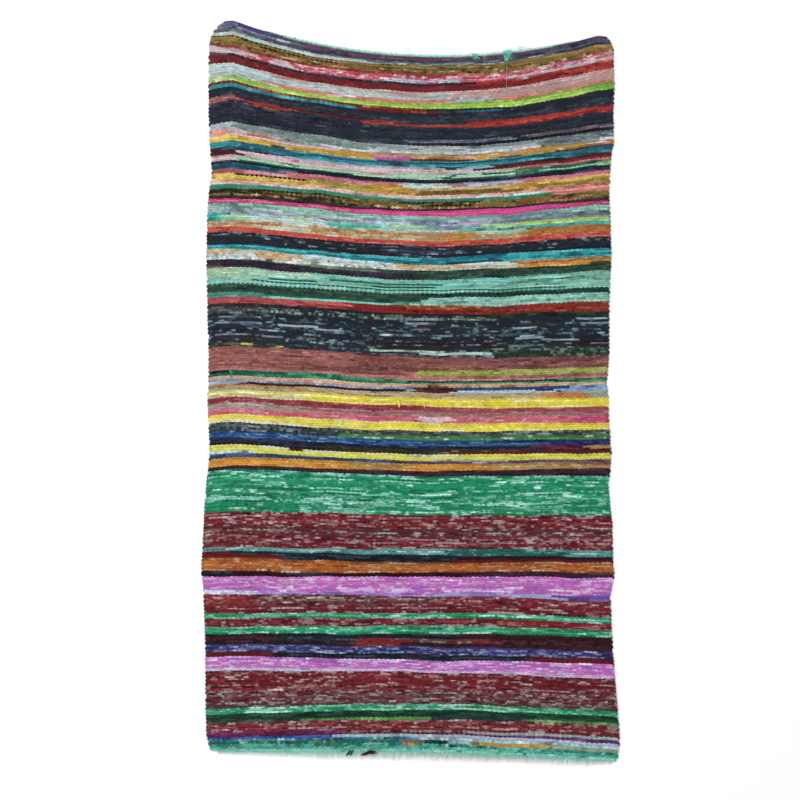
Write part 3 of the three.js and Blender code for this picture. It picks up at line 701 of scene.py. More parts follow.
@dataclass(frozen=True)
class Lay:
    """How the cloth lies: the way each weft runs across it, its selvedges and its folds."""

    head: float = 829.0
    foot: float = -799.0
    half_width: float = 452.0
    hold_left: float = -396.0
    hold_right: float = 416.0
    dip_power: float = 2.4
    stations: tuple[float, ...] = (-420.0, -200.0, 0.0, 200.0, 420.0)
    folds: tuple[Fold, ...] = (Fold(-396, 10, 190, 46, 56), Fold(416, 8, 160, 44, 34))
    # How often the search for a selvedge and for a weft is repeated
    rounds: int = 4
    halvings: int = 40

    def guide(self, left: np.ndarray, column: int) -> np.ndarray:
        """Read one column of the guide wefts at heights along the left hold line."""
        return np.interp(left, GUIDE_WEFTS[::-1, 0], GUIDE_WEFTS[::-1, column])

    def selvedge(self, y: np.ndarray, column: int) -> np.ndarray:
        """Read how far the cloth reaches left (1) or right (2) at heights up the rug."""
        return np.interp(y, SELVEDGES[::-1, 0], SELVEDGES[::-1, column])

    def weft_height(self, left: np.ndarray, x: np.ndarray) -> np.ndarray:
        """Find how far up the rug a weft lies.

        Args:
            left: the weft's height at the left hold point.
            x: where across the rug.

        Returns:
            Heights up the rug, one for each place.
        """
        left, x = np.broadcast_arrays(np.asarray(left, float), np.asarray(x, float))
        right = self.guide(left, 1)
        t = np.clip((x - self.hold_left) / (self.hold_right - self.hold_left), 0, 1)
        off = np.abs(2 * t - 1)
        narrow = 0.5 + 0.5 * np.cos(np.pi * off)
        broad = 1 - off**self.dip_power
        dip = narrow + (broad - narrow) * self.guide(left, 3)
        past_left = np.clip((self.hold_left - x) / (self.hold_left + self.half_width), 0, None)
        past_right = np.clip((x - self.hold_right) / (self.half_width - self.hold_right), 0, None)
        sag = self.guide(left, 2) * dip
        drop = self.guide(left, 4) * past_left**2 + self.guide(left, 5) * past_right**2
        return left + (right - left) * t - sag - drop

    def reach(self, left_at: Callable[[np.ndarray], np.ndarray]) -> tuple[np.ndarray, np.ndarray]:
        """Find where wefts meet the selvedges.

        Args:
            left_at: gives each weft's height at the left hold line for a place across the rug.

        Returns:
            The wefts' left and right ends.
        """
        low = left_at(-self.half_width) * 0 - self.half_width
        high = -low
        for _ in range(self.rounds):
            low = -self.selvedge(self.weft_height(left_at(low), low), 1)
            high = self.selvedge(self.weft_height(left_at(high), high), 2)
        return low, high

    def lift(self, left: np.ndarray, x: np.ndarray) -> np.ndarray:
        """Find how far the folds lift the cloth off the floor.

        Args:
            left: the wefts' heights at the left hold point.
            x: where across the rug.

        Returns:
            The lift, one for each place.
        """
        total = np.zeros(np.broadcast(left, x).shape)
        for fold in self.folds:
            spread = np.where(x < fold.crest, fold.spread_left, fold.spread_right)
            across = np.minimum(np.abs(x - fold.crest) / spread, 1)
            down = np.clip((self.head - left) / fold.run, 0, 1)
            total = total + fold.height * np.cos(np.pi / 2 * across) ** 2 * (1 - down) ** 2
        return total

    def left_of(self, x: float, y: float) -> float:
        """Find the weft that passes through a point.

        Args:
            x, y: the point.

        Returns:
            The weft's height at the left hold point.
        """
        low, high = self.foot, self.head
        for _ in range(self.halvings):
            middle = (low + high) / 2
            low, high = (middle, high) if self.weft_height(middle, x) < y else (low, middle)
        return (low + high) / 2


@dataclass(frozen=True)
class Ripples:
    """A smooth uneven field of nine long ripples, narrower up the rug by the squeeze."""

    strength: float
    shortest: float
    longest: float
    seed: int
    squeeze: float = 1.0

    def at(self, x: np.ndarray, y: np.ndarray) -> np.ndarray:
        """Read the field.

        Args:
            x, y: places on the rug.

        Returns:
            Values of about minus to plus the strength, one for each place.
        """
        rng = np.random.default_rng(self.seed)
        total, y = 0.0, y * self.squeeze
        for _ in range(9):
            length = rng.uniform(self.shortest, self.longest)
            turn = rng.uniform(0, 2 * math.pi)
            slope = rng.uniform(0, math.pi)
            total = total + np.sin(2 * math.pi * (x * math.cos(slope) + y * math.sin(slope)) / length + turn)
        return self.strength * (total / 4)


@dataclass
class Pick:
    """One throw of the weft: where it lies at the five stations, and the rags it is made of."""

    middle: np.ndarray
    breadth: np.ndarray
    starts: np.ndarray
    rags: list[Rag]
    paired: np.ndarray
    lined: np.ndarray


@dataclass
class StripeChart:
    """The weaver's chart, read into picks."""

    lay: Lay
    pitch: float = 4.2
    thinnest: float = 1.6
    uneven: float = 0.18
    raggedness: float = 26.0
    past_selvedge: float = -999.0
    seed: int = 11

    def picks(self) -> list[Pick]:
        """Divide each stripe of the chart into whole picks.

        Returns:
            The picks, head to foot.
        """
        rng = np.random.default_rng(self.seed)
        stripes = rows_of(CHART)
        edges = [np.array([float(word) for word in words[:5]]) for words in stripes]
        edges.append(np.full(5, self.lay.foot))
        made = []
        for words, top, bottom in zip(stripes, edges, edges[1:]):
            count = max(1, round(float(np.mean(top - bottom)) / self.pitch))
            shares = rng.uniform(1 - self.uneven, 1 + self.uneven, count)
            cuts = np.concatenate(([0.0], np.cumsum(shares) / shares.sum()))
            names = words[5::2]
            pairs = [name.replace("+", "/").split("/") for name in names]
            starts = np.array([self.past_selvedge] + [float(word) for word in words[6::2]])
            paired = np.array(["/" in name for name in names])
            for begin, end in zip(cuts, cuts[1:]):
                rags = [Rag[pair[len(made) % len(pair)]] for pair in pairs]
                lined = np.array(["+" in name and len(made) % 2 == 1 for name in names])
                upper, lower = top + (bottom - top) * begin, top + (bottom - top) * end
                joins = starts + rng.uniform(-self.raggedness, self.raggedness, len(starts))
                breadth = np.maximum(upper - lower, self.thinnest)
                made.append(Pick((upper + lower) / 2, breadth, joins, rags, paired, lined))
        return made

    def streaks(self) -> list[tuple[Rag, float, float, float, float]]:
        """Read the single short pieces of rag: each one's left and right ends, and its heights."""
        return [(Rag[name], *(float(word) for word in words)) for name, *words in rows_of(STREAKS)]


def print_edge(share: np.ndarray) -> np.ndarray:
    """Turn the share of a rag that its print covers into the level of the noise above which it shows."""
    return NOISE_MIDDLE + NOISE_SPREAD * (0.5 - share)


def fleck_runs(
    dye: Dye, count: int, step: float, spread: float, rng: np.random.Generator
) -> tuple[np.ndarray, np.ndarray]:
    """Scatter a rag's flecks along a pick in runs.

    Args:
        dye: the rag's colours.
        count: places along the pick.
        step: from one place to the next.
        spread: how far one pick of the same rag is more or less flecked than another.
        rng: seeded scatter.

    Returns:
        For each place, 0 for the ground or 1, 2, ... for a fleck, and how strongly the fleck shows.
    """
    shown = np.zeros(count, int)
    tone = np.full(count, GROUND_TONE)
    flecks, share = dye.shown()
    if not flecks:
        return shown, tone
    share = min(share * np.exp(rng.normal(0, spread)), MOST_FLECKED)
    gap = dye.run * (1 - share) / share
    place = -rng.exponential(gap) * (rng.random() < share)
    while place < count * step:
        place += rng.exponential(gap)
        run = rng.exponential(dye.run) + step / 2
        first, last = int(round(place / step)), int(round((place + run) / step))
        here = slice(max(first, 0), max(last, 0))
        shown[here] = rng.integers(1, len(flecks) + 1)
        tone[here] = rng.uniform(*FLECK_TONES)
        place += run
    return shown, tone


@dataclass
class Strand:
    """One strand: its middle, half width, half height and linear colour at each point of its run.

    The print's colour and edge, and the cloth, are there only on a woven rag.
    """

    path: np.ndarray
    wide: np.ndarray
    high: np.ndarray
    dye: np.ndarray
    printed: np.ndarray | None = None
    cloth: np.ndarray | None = None


@dataclass
class Skein:
    """Swept strands gathered into one mesh, with their colours and a strip of the map for each."""

    points: list[np.ndarray] = field(default_factory=list)
    quads: list[np.ndarray] = field(default_factory=list)
    quad_maps: list[np.ndarray] = field(default_factory=list)
    ends: list[list[int]] = field(default_factory=list)
    end_maps: list[np.ndarray] = field(default_factory=list)
    dyes: list[np.ndarray] = field(default_factory=list)
    prints: list[np.ndarray] = field(default_factory=list)
    cloths: list[np.ndarray] = field(default_factory=list)
    total: int = 0

    def add(self, strand: Strand, section: np.ndarray, cells: np.ndarray) -> None:
        """Sweep one strand along its path.

        Args:
            strand: the strand.
            section: its cross-section, for a half width and half height of 1.
            cells: for each length between two points, the map's start, end, and two sides.
        """
        path = strand.path
        count, corners = len(path), len(section)
        heading = np.gradient(path[:, :2], axis=0)
        heading /= np.maximum(np.linalg.norm(heading, axis=1), 1e-9)[:, None]
        side = np.stack([-heading[:, 1], heading[:, 0], np.zeros(count)], axis=1)
        ring = path[:, None, :] + side[:, None, :] * (strand.wide[:, None] * section[:, 0])[:, :, None]
        ring[:, :, 2] += strand.high[:, None] * section[:, 1]
        at = self.total + np.arange(count * corners).reshape(count, corners)
        turned = np.roll(at, -1, axis=1)
        self.points.append(ring.reshape(-1, 3))
        self.quads.append(np.stack([at[:-1], turned[:-1], turned[1:], at[1:]], axis=2).reshape(-1, 4))
        near = np.arange(corners) / corners
        start, end = cells[:, 0, None] + 0 * near, cells[:, 1, None] + 0 * near
        low, tall = cells[:, 2, None], (cells[:, 3] - cells[:, 2])[:, None]
        below, above = low + tall * near, low + tall * (near + 1 / corners)
        square = [(start, below), (start, above), (end, above), (end, below)]
        self.quad_maps.append(np.stack([np.stack(c, axis=2) for c in square], axis=2).reshape(-1, 2))
        for row, cell, order in ((0, cells[0], -1), (count - 1, cells[-1], 1)):
            self.ends.append(at[row, ::order].tolist())
            spin = 2 * np.pi * np.arange(corners) / corners * order
            size = CAP_SIZE * min(abs(cell[1] - cell[0]), cell[3] - cell[2])
            middle = np.array([(cell[0] + cell[1]) / 2, cell[2] + 0.5 * (cell[3] - cell[2])])
            self.end_maps.append(middle + size * np.stack([np.cos(spin), np.sin(spin)], axis=1))
        self.dyes.append(np.repeat(strand.dye, corners, axis=0))
        if strand.printed is not None:
            self.prints.append(np.repeat(strand.printed, corners, axis=0))
        finish = np.zeros(count, int) if strand.cloth is None else strand.cloth
        self.cloths.append(np.repeat(finish[:-1], corners))
        self.total += count * corners

    def piece(self, name: str, materials: list[bpy.types.Material]) -> bpy.types.Object:
        """Make the mesh and its object.

        Args:
            name: the piece's name.
            materials: its finishes, in the order of the cloths.

        Returns:
            The object, at the origin.
        """
        mesh = bpy.data.meshes.new(name)
        quads = np.concatenate(self.quads)
        mesh.from_pydata(np.concatenate(self.points) * MM, [], quads.tolist() + self.ends)
        layer = mesh.uv_layers.new(name="OFBake")
        layer.data.foreach_set("uv", np.concatenate(self.quad_maps + self.end_maps).ravel())
        dyes = np.concatenate(self.dyes)
        colours = {"rag_dye": np.column_stack([dyes, np.ones(len(dyes))])}
        if self.prints:
            colours["rag_print"] = np.concatenate(self.prints)
        for label, values in colours.items():
            mesh.color_attributes.new(label, "FLOAT_COLOR", "POINT").data.foreach_set("color", values.ravel())
        for material in materials:
            mesh.materials.append(material)
        cloths = np.concatenate(self.cloths + [np.zeros(len(self.ends), int)])
        mesh.polygons.foreach_set("material_index", np.minimum(cloths, len(materials) - 1))
        mesh.polygons.foreach_set("use_smooth", np.ones(len(cloths), bool))
        mesh.update()
        made = bpy.data.objects.new(name, mesh)
        bpy.context.scene.collection.objects.link(made)
        return made


def strip_cells(number: int, columns: int, rows: int, lengths: int) -> np.ndarray:
    """Lay a strand's map in its own cell of a grid.

    Args:
        number: which strand.
        columns: cells across the map.
        rows: cells up the map.
        lengths: how many lengths the strand has.

    Returns:
        For each length, the map's start, end, and two sides.
    """
    column, row = number % columns, number // columns
    along = (column + CELL_START + CELL_FILL * np.linspace(0, 1, lengths + 1)) / columns
    sides = np.full((lengths, 2), ((row + CELL_START) / rows, (row + 1 - CELL_START) / rows))
    return np.column_stack([along[:-1], along[1:], sides])


# How much red, green and blue each add to a grey
GREY_WEIGHTS = (0.3, 0.59, 0.11)
# A rag strip beaten flat: a broad back and belly with thin sides
RAG_SECTION = np.array([(1, 0), (0.55, 0.9), (-0.55, 0.9), (-1, 0), (-0.55, -0.9), (0.55, -0.9)])
FIBRE_SECTION = np.array([(1, -0.5), (0, 1), (-1, -0.5)])


@dataclass
class Weave:
    """The woven cloth: every pick of rag, and the warp strings that hold them."""

    lay: Lay
    chart: StripeChart
    warps: int = 171
    bands: int = 14
    # How a pick's end turns at the selvedge
    turn: float = 1.7
    bulge: float = 0.3
    turn_width: float = 2.3
    turn_fit: float = 1.1
    turn_flare: float = 1.15
    end_scatter: float = 0.5
    # Heights: the cloth's middle, and how far from it a pick lies where it passes a warp end
    middle: float = 2.3
    over: float = 0.48
    paired_over: float = 0.85
    float_rise: float = 0.45
    float_step: float = 0.3
    lined_rise: float = 0.2
    lined_step: float = 0.2
    thick: float = 1.0
    under_thick: float = 0.9
    clear: float = 0.05
    # Half widths, as shares of a pick's breadth
    over_width: float = 0.64
    under_width: float = 0.6
    paired_over_width: float = 0.8
    paired_under_width: float = 0.38
    float_width: float = 0.56
    lined_width: float = 0.42
    # How the picks wander, which fades out in a calm run at the head and foot, and how lumpy they are
    wander: Ripples = Ripples(1.4, 50, 220, 21)
    calm: float = 12.0
    lumps: Ripples = Ripples(0.1, 30, 90, 22, 3)
    lump_scatter: float = 0.05
    height_scatter: float = 0.1
    streak_scatter: float = 6.0
    # Warp strings, thin because the rags cover them
    string: float = 0.15
    string_drop: float = 0.25
    string_points: int = 42
    string_dye: str = "d8d4c8"
    # Colour: how the print covers flecked and plain runs, and years of sun and washing
    in_run: float = 0.82
    off_run: float = 0.08
    share_spread: float = 0.5
    least_share: float = 0.02
    most_share: float = 0.9
    strength: float = 0.81
    fade: float = 0.1
    slow_light: Ripples = Ripples(0.09, 90, 500, 31, 4)
    pick_light: float = 0.1
    spot_light: float = 0.085
    tint: float = 0.02
    # Map: the room at each side for the turns, and where a pick starts and ends in its own row
    room: float = 0.012
    row_start: float = 0.03
    row_end: float = 0.97
    seed: int = 5
    picks: list[Pick] = field(init=False)
    # For every place along every pick
    x: np.ndarray = field(init=False)
    y: np.ndarray = field(init=False)
    z: np.ndarray = field(init=False)
    left: np.ndarray = field(init=False)
    breadth: np.ndarray = field(init=False)
    lifted: np.ndarray = field(init=False)
    wide: np.ndarray = field(init=False)
    high: np.ndarray = field(init=False)
    floats: np.ndarray = field(init=False)
    dye: np.ndarray = field(init=False)
    printed: np.ndarray = field(init=False)
    cloth: np.ndarray = field(init=False)

    def __post_init__(self) -> None:
        """Lay all the picks."""
        self.picks = self.chart.picks()
        rng = np.random.default_rng(self.seed)
        self.place_picks(rng)
        self.shape_picks(rng)
        self.dye_picks(np.random.default_rng(self.seed + 1))
        LOG.info("%d picks over %d warp ends", len(self.picks), self.warps)

    def at_stations(self, values: np.ndarray, x: np.ndarray) -> np.ndarray:
        """Read each pick's values at the stations for its own places across the rug."""
        return np.stack([np.interp(row, self.lay.stations, v) for row, v in zip(x, values)])

    def worn(self, parts: list) -> np.ndarray:
        """Read what each pick has for each of its rags, at its own places across the rug.

        Args:
            parts: for each pick, one value for each of its rags.

        Returns:
            The values, one for each place along each pick.
        """
        made = []
        for pick, x, part in zip(self.picks, self.x, parts):
            which = np.clip(np.searchsorted(pick.starts, x, side="right") - 1, 0, None)
            made.append(np.asarray(part)[which])
        return np.stack(made)

    def place_picks(self, rng: np.random.Generator) -> None:
        """Find where every pick runs, from selvedge to selvedge.

        Args:
            rng: seeded scatter.
        """
        count = len(self.picks)
        middles = np.stack([pick.middle for pick in self.picks])
        breadths = np.stack([pick.breadth for pick in self.picks])

        def left_at(x: np.ndarray) -> np.ndarray:
            """Give each pick's height at the left hold line for a place across."""
            places = np.broadcast_to(np.asarray(x, float), (count,))
            return self.at_stations(middles, places[:, None])[:, 0]

        low, high = self.lay.reach(left_at)
        low = low + self.turn + rng.uniform(-self.end_scatter, self.end_scatter, count)
        high = high - self.turn + rng.uniform(-self.end_scatter, self.end_scatter, count)
        self.x = low[:, None] + (high - low)[:, None] * np.linspace(0, 1, self.warps)
        self.left = self.at_stations(middles, self.x)
        half = self.at_stations(breadths, self.x) / 2
        wander = self.wander.at(self.x, self.left)
        calm = np.clip(np.minimum(self.lay.head - self.left, self.left - self.lay.foot) / self.calm, 0, 1)
        top = self.lay.weft_height(self.left + half, self.x)
        bottom = self.lay.weft_height(self.left - half, self.x)
        self.y = (top + bottom) / 2 + wander * calm
        self.breadth = top - bottom
        self.lifted = self.lay.lift(self.left, self.x)

    def shape_picks(self, rng: np.random.Generator) -> None:
        """Take every pick over and under the warp ends.

        Args:
            rng: seeded scatter.
        """
        raised = (np.arange(len(self.picks))[:, None] + np.arange(self.warps)) % 2 == 0
        lump = 1 + self.lumps.at(self.x, self.y) + rng.normal(0, self.lump_scatter, self.x.shape)
        self.floats = self.lay_streaks(rng)
        floating = np.not_equal(self.floats, None).astype(bool)
        paired = self.worn([pick.paired for pick in self.picks])
        lined = self.worn([pick.lined for pick in self.picks])
        # A pick is wider where it passes over a warp end, and thin where it floats or shows as a line
        over = np.where(paired, self.paired_over_width, self.over_width)
        under = np.where(paired, self.paired_under_width, self.under_width)
        self.wide = self.breadth * np.where(raised, over, under) * lump
        self.wide = np.where(floating, self.float_width * self.breadth * lump, self.wide)
        self.wide = np.where(lined, self.lined_width * self.breadth * lump, self.wide)
        self.high = self.thick * np.where(raised, 1.0, self.under_thick) * (0.5 + 0.5 * lump)
        rise = np.where(paired, self.paired_over, self.over)
        step = np.where(raised, rise, -rise)
        step = np.where(floating, self.float_rise + self.float_step * raised, step)
        step = np.where(lined, self.lined_rise + self.lined_step * raised, step)
        uneven = rng.uniform(-self.height_scatter, self.height_scatter, self.x.shape)
        self.z = self.middle + step + uneven + self.lifted
        self.z = np.maximum(self.z, self.high + self.clear + self.lifted)

    def lay_streaks(self, rng: np.random.Generator) -> np.ndarray:
        """Find where the single short pieces of rag float over the cloth.

        Args:
            rng: seeded scatter.

        Returns:
            For every place along every pick, the floating rag or None.
        """
        floats = np.full(self.x.shape, None, object)
        for rag, start, end, top, bottom in self.chart.streaks():
            column = int(np.argmin(np.abs(self.x[0] - (start + end) / 2)))
            heights = self.left[:, column]
            low, high = min(top, bottom), max(top, bottom)
            inside = (heights > low) & (heights < high)
            inside[np.argmin(np.abs(heights - (low + high) / 2))] = True
            for i in np.flatnonzero(inside):
                shift = rng.uniform(-self.streak_scatter, self.streak_scatter, 2)
                floats[i, (self.x[i] > start + shift[0]) & (self.x[i] < end + shift[1])] = rag
        return floats

    def dye_picks(self, rng: np.random.Generator) -> None:
        """Give every place along every pick its rag's colour.

        Args:
            rng: seeded scatter.
        """
        step = 2 * self.lay.half_width / self.warps
        rags = self.worn([pick.rags for pick in self.picks])
        rags = np.where(np.equal(self.floats, None), rags, self.floats)
        self.dye = np.zeros((*self.x.shape, 3))
        self.printed = np.zeros((*self.x.shape, 4))
        self.cloth = np.zeros(self.x.shape, int)
        for i, row in enumerate(rags):
            for rag in dict.fromkeys(row):
                here = row == rag
                dye = rag.value
                ground = np.array(linear(dye.ground))
                flecks = dye.shown()[0] or [ground]
                runs, tone = fleck_runs(dye, self.warps, step, self.share_spread, rng)
                runs, tone = runs[here], tone[here, None]
                spare = flecks[rng.integers(len(flecks))]
                more = np.exp(rng.normal(0, self.share_spread))
                share = np.where(runs > 0, self.in_run, self.off_run) * more
                self.dye[i, here] = ground
                self.printed[i, here, :3] = ground + (np.array([spare] + flecks)[runs] - ground) * tone
                self.printed[i, here, 3] = print_edge(np.clip(share, self.least_share, self.most_share))
                self.cloth[i, here] = dye.cloth.value
        pick_light = np.exp(rng.normal(0, self.pick_light, len(self.picks)))[:, None]
        slow = 1 + self.slow_light.at(self.x, self.y)
        spot = 1 + rng.normal(0, self.spot_light, self.x.shape)
        tint = 1 + rng.normal(0, self.tint, self.dye.shape)
        shade = self.strength * (pick_light * slow * spot)[:, :, None] * tint
        self.dye = shade * self.faded(self.dye)
        self.printed[:, :, :3] = shade * self.faded(self.printed[:, :, :3])

    def faded(self, colours: np.ndarray) -> np.ndarray:
        """Give the colours as they are after years of sun and washing, a little greyer."""
        grey = colours @ np.array(GREY_WEIGHTS)
        return colours + (grey[:, :, None] - colours) * self.fade

    def turn_at(self, i: int, place: int) -> Strand:
        """Bend a pick's rag round the last warp end and into the next pick.

        Args:
            i: which pick.
            place: its end at that selvedge, 0 or -1.

        Returns:
            The turn.
        """
        here, there = (np.array([self.x[k, place], self.y[k, place], self.z[k, place]]) for k in (i, i + 1))
        angle = np.radians([45.0, 90.0, 135.0])
        radius = np.linalg.norm(here[:2] - there[:2]) / 2
        bend = here + (there - here) * ((1 - np.cos(angle)) / 2)[:, None]
        bend[:, 0] += (1 if place else -1) * self.bulge * radius * np.sin(angle)
        slim = np.full(3, min(self.turn_width, self.turn_fit * radius))
        dye, printed = np.tile(self.dye[i, place], (3, 1)), np.tile(self.printed[i, place], (3, 1))
        return Strand(bend, slim, np.full(3, self.thick), dye, printed, np.full(3, self.cloth[i, place]))

    def band(self, number: int, materials: list[bpy.types.Material]) -> bpy.types.Object:
        """Weave one band of the cloth: its picks as one rag, turning at each selvedge.

        Args:
            number: which band, from the head.
            materials: the finishes of the rags.

        Returns:
            The band.
        """
        edges = np.round(np.linspace(0, len(self.picks), self.bands + 1)).astype(int)
        first, last = edges[number], edges[number + 1]
        count = last - first
        strands, cells = [], []
        for row, i in enumerate(range(first, last)):
            way = slice(None) if row % 2 == 0 else slice(None, None, -1)
            path = np.stack([self.x[i], self.y[i], self.z[i]], axis=1)
            parts = (path, self.wide[i], self.high[i], self.dye[i], self.printed[i], self.cloth[i])
            strands.append(Strand(*(part[way].copy() for part in parts)))
            sides = [(row + self.row_start) / count, (row + self.row_end) / count]
            along = np.linspace(self.room, 1 - self.room, self.warps)[way]
            cells.append(np.column_stack([along[:-1], along[1:], np.full((self.warps - 1, 2), sides)]))
            if i + 1 < last:
                end, place = (1, -1) if row % 2 == 0 else (-1, 0)
                strands.append(self.turn_at(i, place))
                edge = along[-1] + end * self.room * np.linspace(0, 1, 5)
                cells.append(np.column_stack([edge[:-1], edge[1:], np.full((4, 2), sides)]))
        # Each pick draws in where it meets a turn
        for turn in range(1, len(strands) - 1, 2):
            most = strands[turn].wide[0] * self.turn_flare
            before, after = strands[turn - 1].wide, strands[turn + 1].wide
            before[-1], after[0] = min(before[-1], most), min(after[0], most)
        rag = Strand(*(np.concatenate(parts) for parts in zip(*(vars(s).values() for s in strands))))
        skein = Skein()
        skein.add(rag, RAG_SECTION, np.concatenate(cells))
        made = skein.piece(f"weft_band_{number + 1:02d}", materials)
        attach(made, "root")
        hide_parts("woven_cloth")
        return made

    def strings(self, material: bpy.types.Material) -> bpy.types.Object:
        """Run the warp strings through the cloth, between the picks.

        Args:
            material: their finish.

        Returns:
            The strings.
        """
        rows = np.round(np.linspace(0, len(self.picks) - 1, self.string_points)).astype(int)
        skein = Skein()
        pale = np.tile(linear(self.string_dye), (len(rows), 1))
        size = np.full(len(rows), self.string)
        for j in range(self.warps):
            z = self.middle - self.string_drop + self.lifted[rows, j]
            path = np.stack([self.x[rows, j], self.y[rows, j], z], axis=1)
            cells = strip_cells(j, 1, self.warps, len(rows) - 1)
            skein.add(Strand(path, size, size, pale), FIBRE_SECTION, cells)
        made = skein.piece("warp_strings", [material])
        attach(made, "root")
        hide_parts("woven_cloth")
        LOG.info("%s: %d strings", made.name, self.warps)
        return made


@dataclass
class Fringe:
    """The cut warp ends along one edge, frayed into fibres."""

    name: str
    node: str
    slot: str
    side: int
    first: float
    last: float
    lengths: tuple[tuple[float, float], ...]
    roots: tuple[str, ...]
    tips: tuple[str, ...]
    fibres: int
    spread: float
    thick: float = 0.17
    rise: float = 4.3
    inside: float = 3.0
    reach: float = 3.8
    # A fibre has the least share of the length at its place, and up to the spare share more. The two shapes
    # say whether most fibres are short or long.
    least: float = 0.2
    spare: float = 0.95
    shapes: tuple[float, float] = (1.8, 1.6)
    root_spread: float = 0.7
    bow: float = 1.3
    rest: tuple[float, float] = (0.3, 1.4)
    sizes: tuple[float, float] = (0.8, 1.3)
    taper: float = 0.6
    root_shade: tuple[float, float] = (0.85, 1.1)
    tip_scatter: float = 0.8
    # Where along a fibre the tip's colour begins to come in, and how fast
    tip_begins: float = 0.4
    tip_blend: float = 1.4
    points: int = 4
    columns: int = 24
    seed: int = 3

    def build(self, weave: Weave, material: bpy.types.Material) -> bpy.types.Object:
        """Fray every warp end between the fringe's two ends.

        Args:
            weave: the cloth that the ends come out of.
            material: the fibres' finish.

        Returns:
            The fringe.
        """
        rng = np.random.default_rng(self.seed)
        row = 0 if self.side > 0 else -1
        x = weave.x[row]
        edge = weave.y[row] + self.side * weave.breadth[row] / 2
        table = np.array(self.lengths)
        ends = [j for j in range(weave.warps) if self.first < x[j] < self.last]
        total = len(ends) * self.fibres
        rows = math.ceil(total / self.columns)
        skein = Skein()
        t = np.linspace(0, 1, self.points)
        for number in range(total):
            j = ends[number // self.fibres]
            length = self.reach + np.interp(x[j], table[:, 0], table[:, 1])
            length *= self.least + self.spare * rng.beta(*self.shapes)
            out = -self.inside + (length + self.inside) * t
            lean = rng.normal(0, self.spread)
            curl = rng.normal(0, self.spread / 2)
            root_at = x[j] + rng.uniform(-self.root_spread, self.root_spread)
            across = root_at + lean * t**self.bow + curl * np.sin(np.pi * t)
            rest = rng.uniform(*self.rest)
            up = rest + (self.rise - rest) * (1 - t) ** 2 + weave.lifted[row, j]
            path = np.stack([across, edge[j] + self.side * out, up], axis=1)
            size = self.thick * rng.uniform(*self.sizes) * (1 - self.taper * t)
            root = np.array(linear(self.roots[rng.integers(len(self.roots))])) * rng.uniform(*self.root_shade)
            place = (x[j] - self.first) / (self.last - self.first) * len(self.tips)
            place += rng.normal(0, self.tip_scatter)
            tip = np.array(linear(self.tips[int(np.clip(place, 0, len(self.tips) - 1))]))
            dye = root + (tip - root) * np.clip(t * self.tip_blend - self.tip_begins, 0, 1)[:, None]
            cells = strip_cells(number, self.columns, rows, self.points - 1)
            skein.add(Strand(path, size, size, dye), FIBRE_SECTION, cells)
        made = skein.piece(self.name, [material])
        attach(made, "root")
        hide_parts(self.node)
        LOG.info("%s: %d fibres", made.name, total)
        return made


@dataclass(frozen=True)
class Wisp:
    """A loose end of rag or yarn that lies on the cloth: its course, its fibres and how they spread."""

    dyes: str
    course: tuple[tuple[float, float], ...]
    fibres: int
    spread: float
    thick: float
    length: float = 0.85
    curl: float = 0.5


# Yarns that more than one loose end is made of
JADE_YARN = "6cdcc0 a8f0dc 3ca88c"
LEMON_YARN = "e8dc38 f0e670"
BLACK_YARN = "2a2228 34302c"
WINE_YARN = "2a2228 3c1c28"
TURQUOISE_YARN = "5ccab8 9cdcd0 2f9484"
WISPS = (
    Wisp("6cd4b8 a8e8d8 3c9c80", ((137, 756), (143, 752), (149, 747), (155, 743)), 56, 2.8, 0.3, 0.4, 1.8),
    Wisp(JADE_YARN, ((204, 757), (212, 759), (221, 761), (231, 765)), 44, 2.0, 0.3, 0.35, 2.0),
    Wisp(JADE_YARN, ((207, 757), (211, 751), (213, 745), (215, 739)), 30, 2.6, 0.3, 0.35, 2.2),
    Wisp(JADE_YARN, ((225, 759), (220, 753), (218, 747), (216, 740)), 30, 2.6, 0.3, 0.35, 2.2),
    Wisp("a8e8d4 d0f4e8", ((233, 768), (245, 770), (258, 773), (268, 776)), 16, 1.4, 0.25, 0.4, 1.6),
    Wisp("88d4bc b8ecdc", ((-18, 764), (-10, 767), (0, 766), (12, 763)), 12, 1.6, 0.22, 0.5, 2.0),
    Wisp("a8c4b0 c8d4c8", ((214, 740), (215, 720), (214, 690), (216, 652)), 2, 0.4, 0.28),
    Wisp("b0b4b4 989ca0", ((164, 752), (166, 744), (168, 733)), 4, 1.8, 0.3),
    Wisp("2f9a78 58b898", ((-402, 52), (-399, 42), (-401, 30)), 10, 1.6, 0.4),
    Wisp(LEMON_YARN, ((-27, -16), (-25, -24), (-24, -32)), 14, 1.4, 0.8),
    Wisp(LEMON_YARN, ((29, -18), (30, -26), (32, -33)), 12, 1.4, 0.7),
    Wisp("9cc4dc c8dce8", ((157, -768), (160, -774), (165, -782)), 8, 1.0, 0.7),
    Wisp(BLACK_YARN, ((-143, -808), (-138, -802), (-134, -796)), 8, 0.8, 0.7),
    Wisp(BLACK_YARN, ((-135, -807), (-131, -801), (-127, -795)), 8, 0.8, 0.7),
    Wisp(WINE_YARN, ((-110, -808), (-101, -804), (-92, -800), (-84, -799)), 16, 1.4, 0.8),
    Wisp(WINE_YARN, ((-98, -803), (-91, -801), (-84, -800), (-75, -801)), 34, 1.9, 0.9, 0.6),
    Wisp(TURQUOISE_YARN, ((-154, -800), (-142, -793), (-128, -788), (-108, -789)), 18, 1.8, 0.45, 0.6),
    Wisp(TURQUOISE_YARN, ((-100, -793), (-84, -788), (-66, -790), (-50, -792)), 18, 1.8, 0.45, 0.6),
)


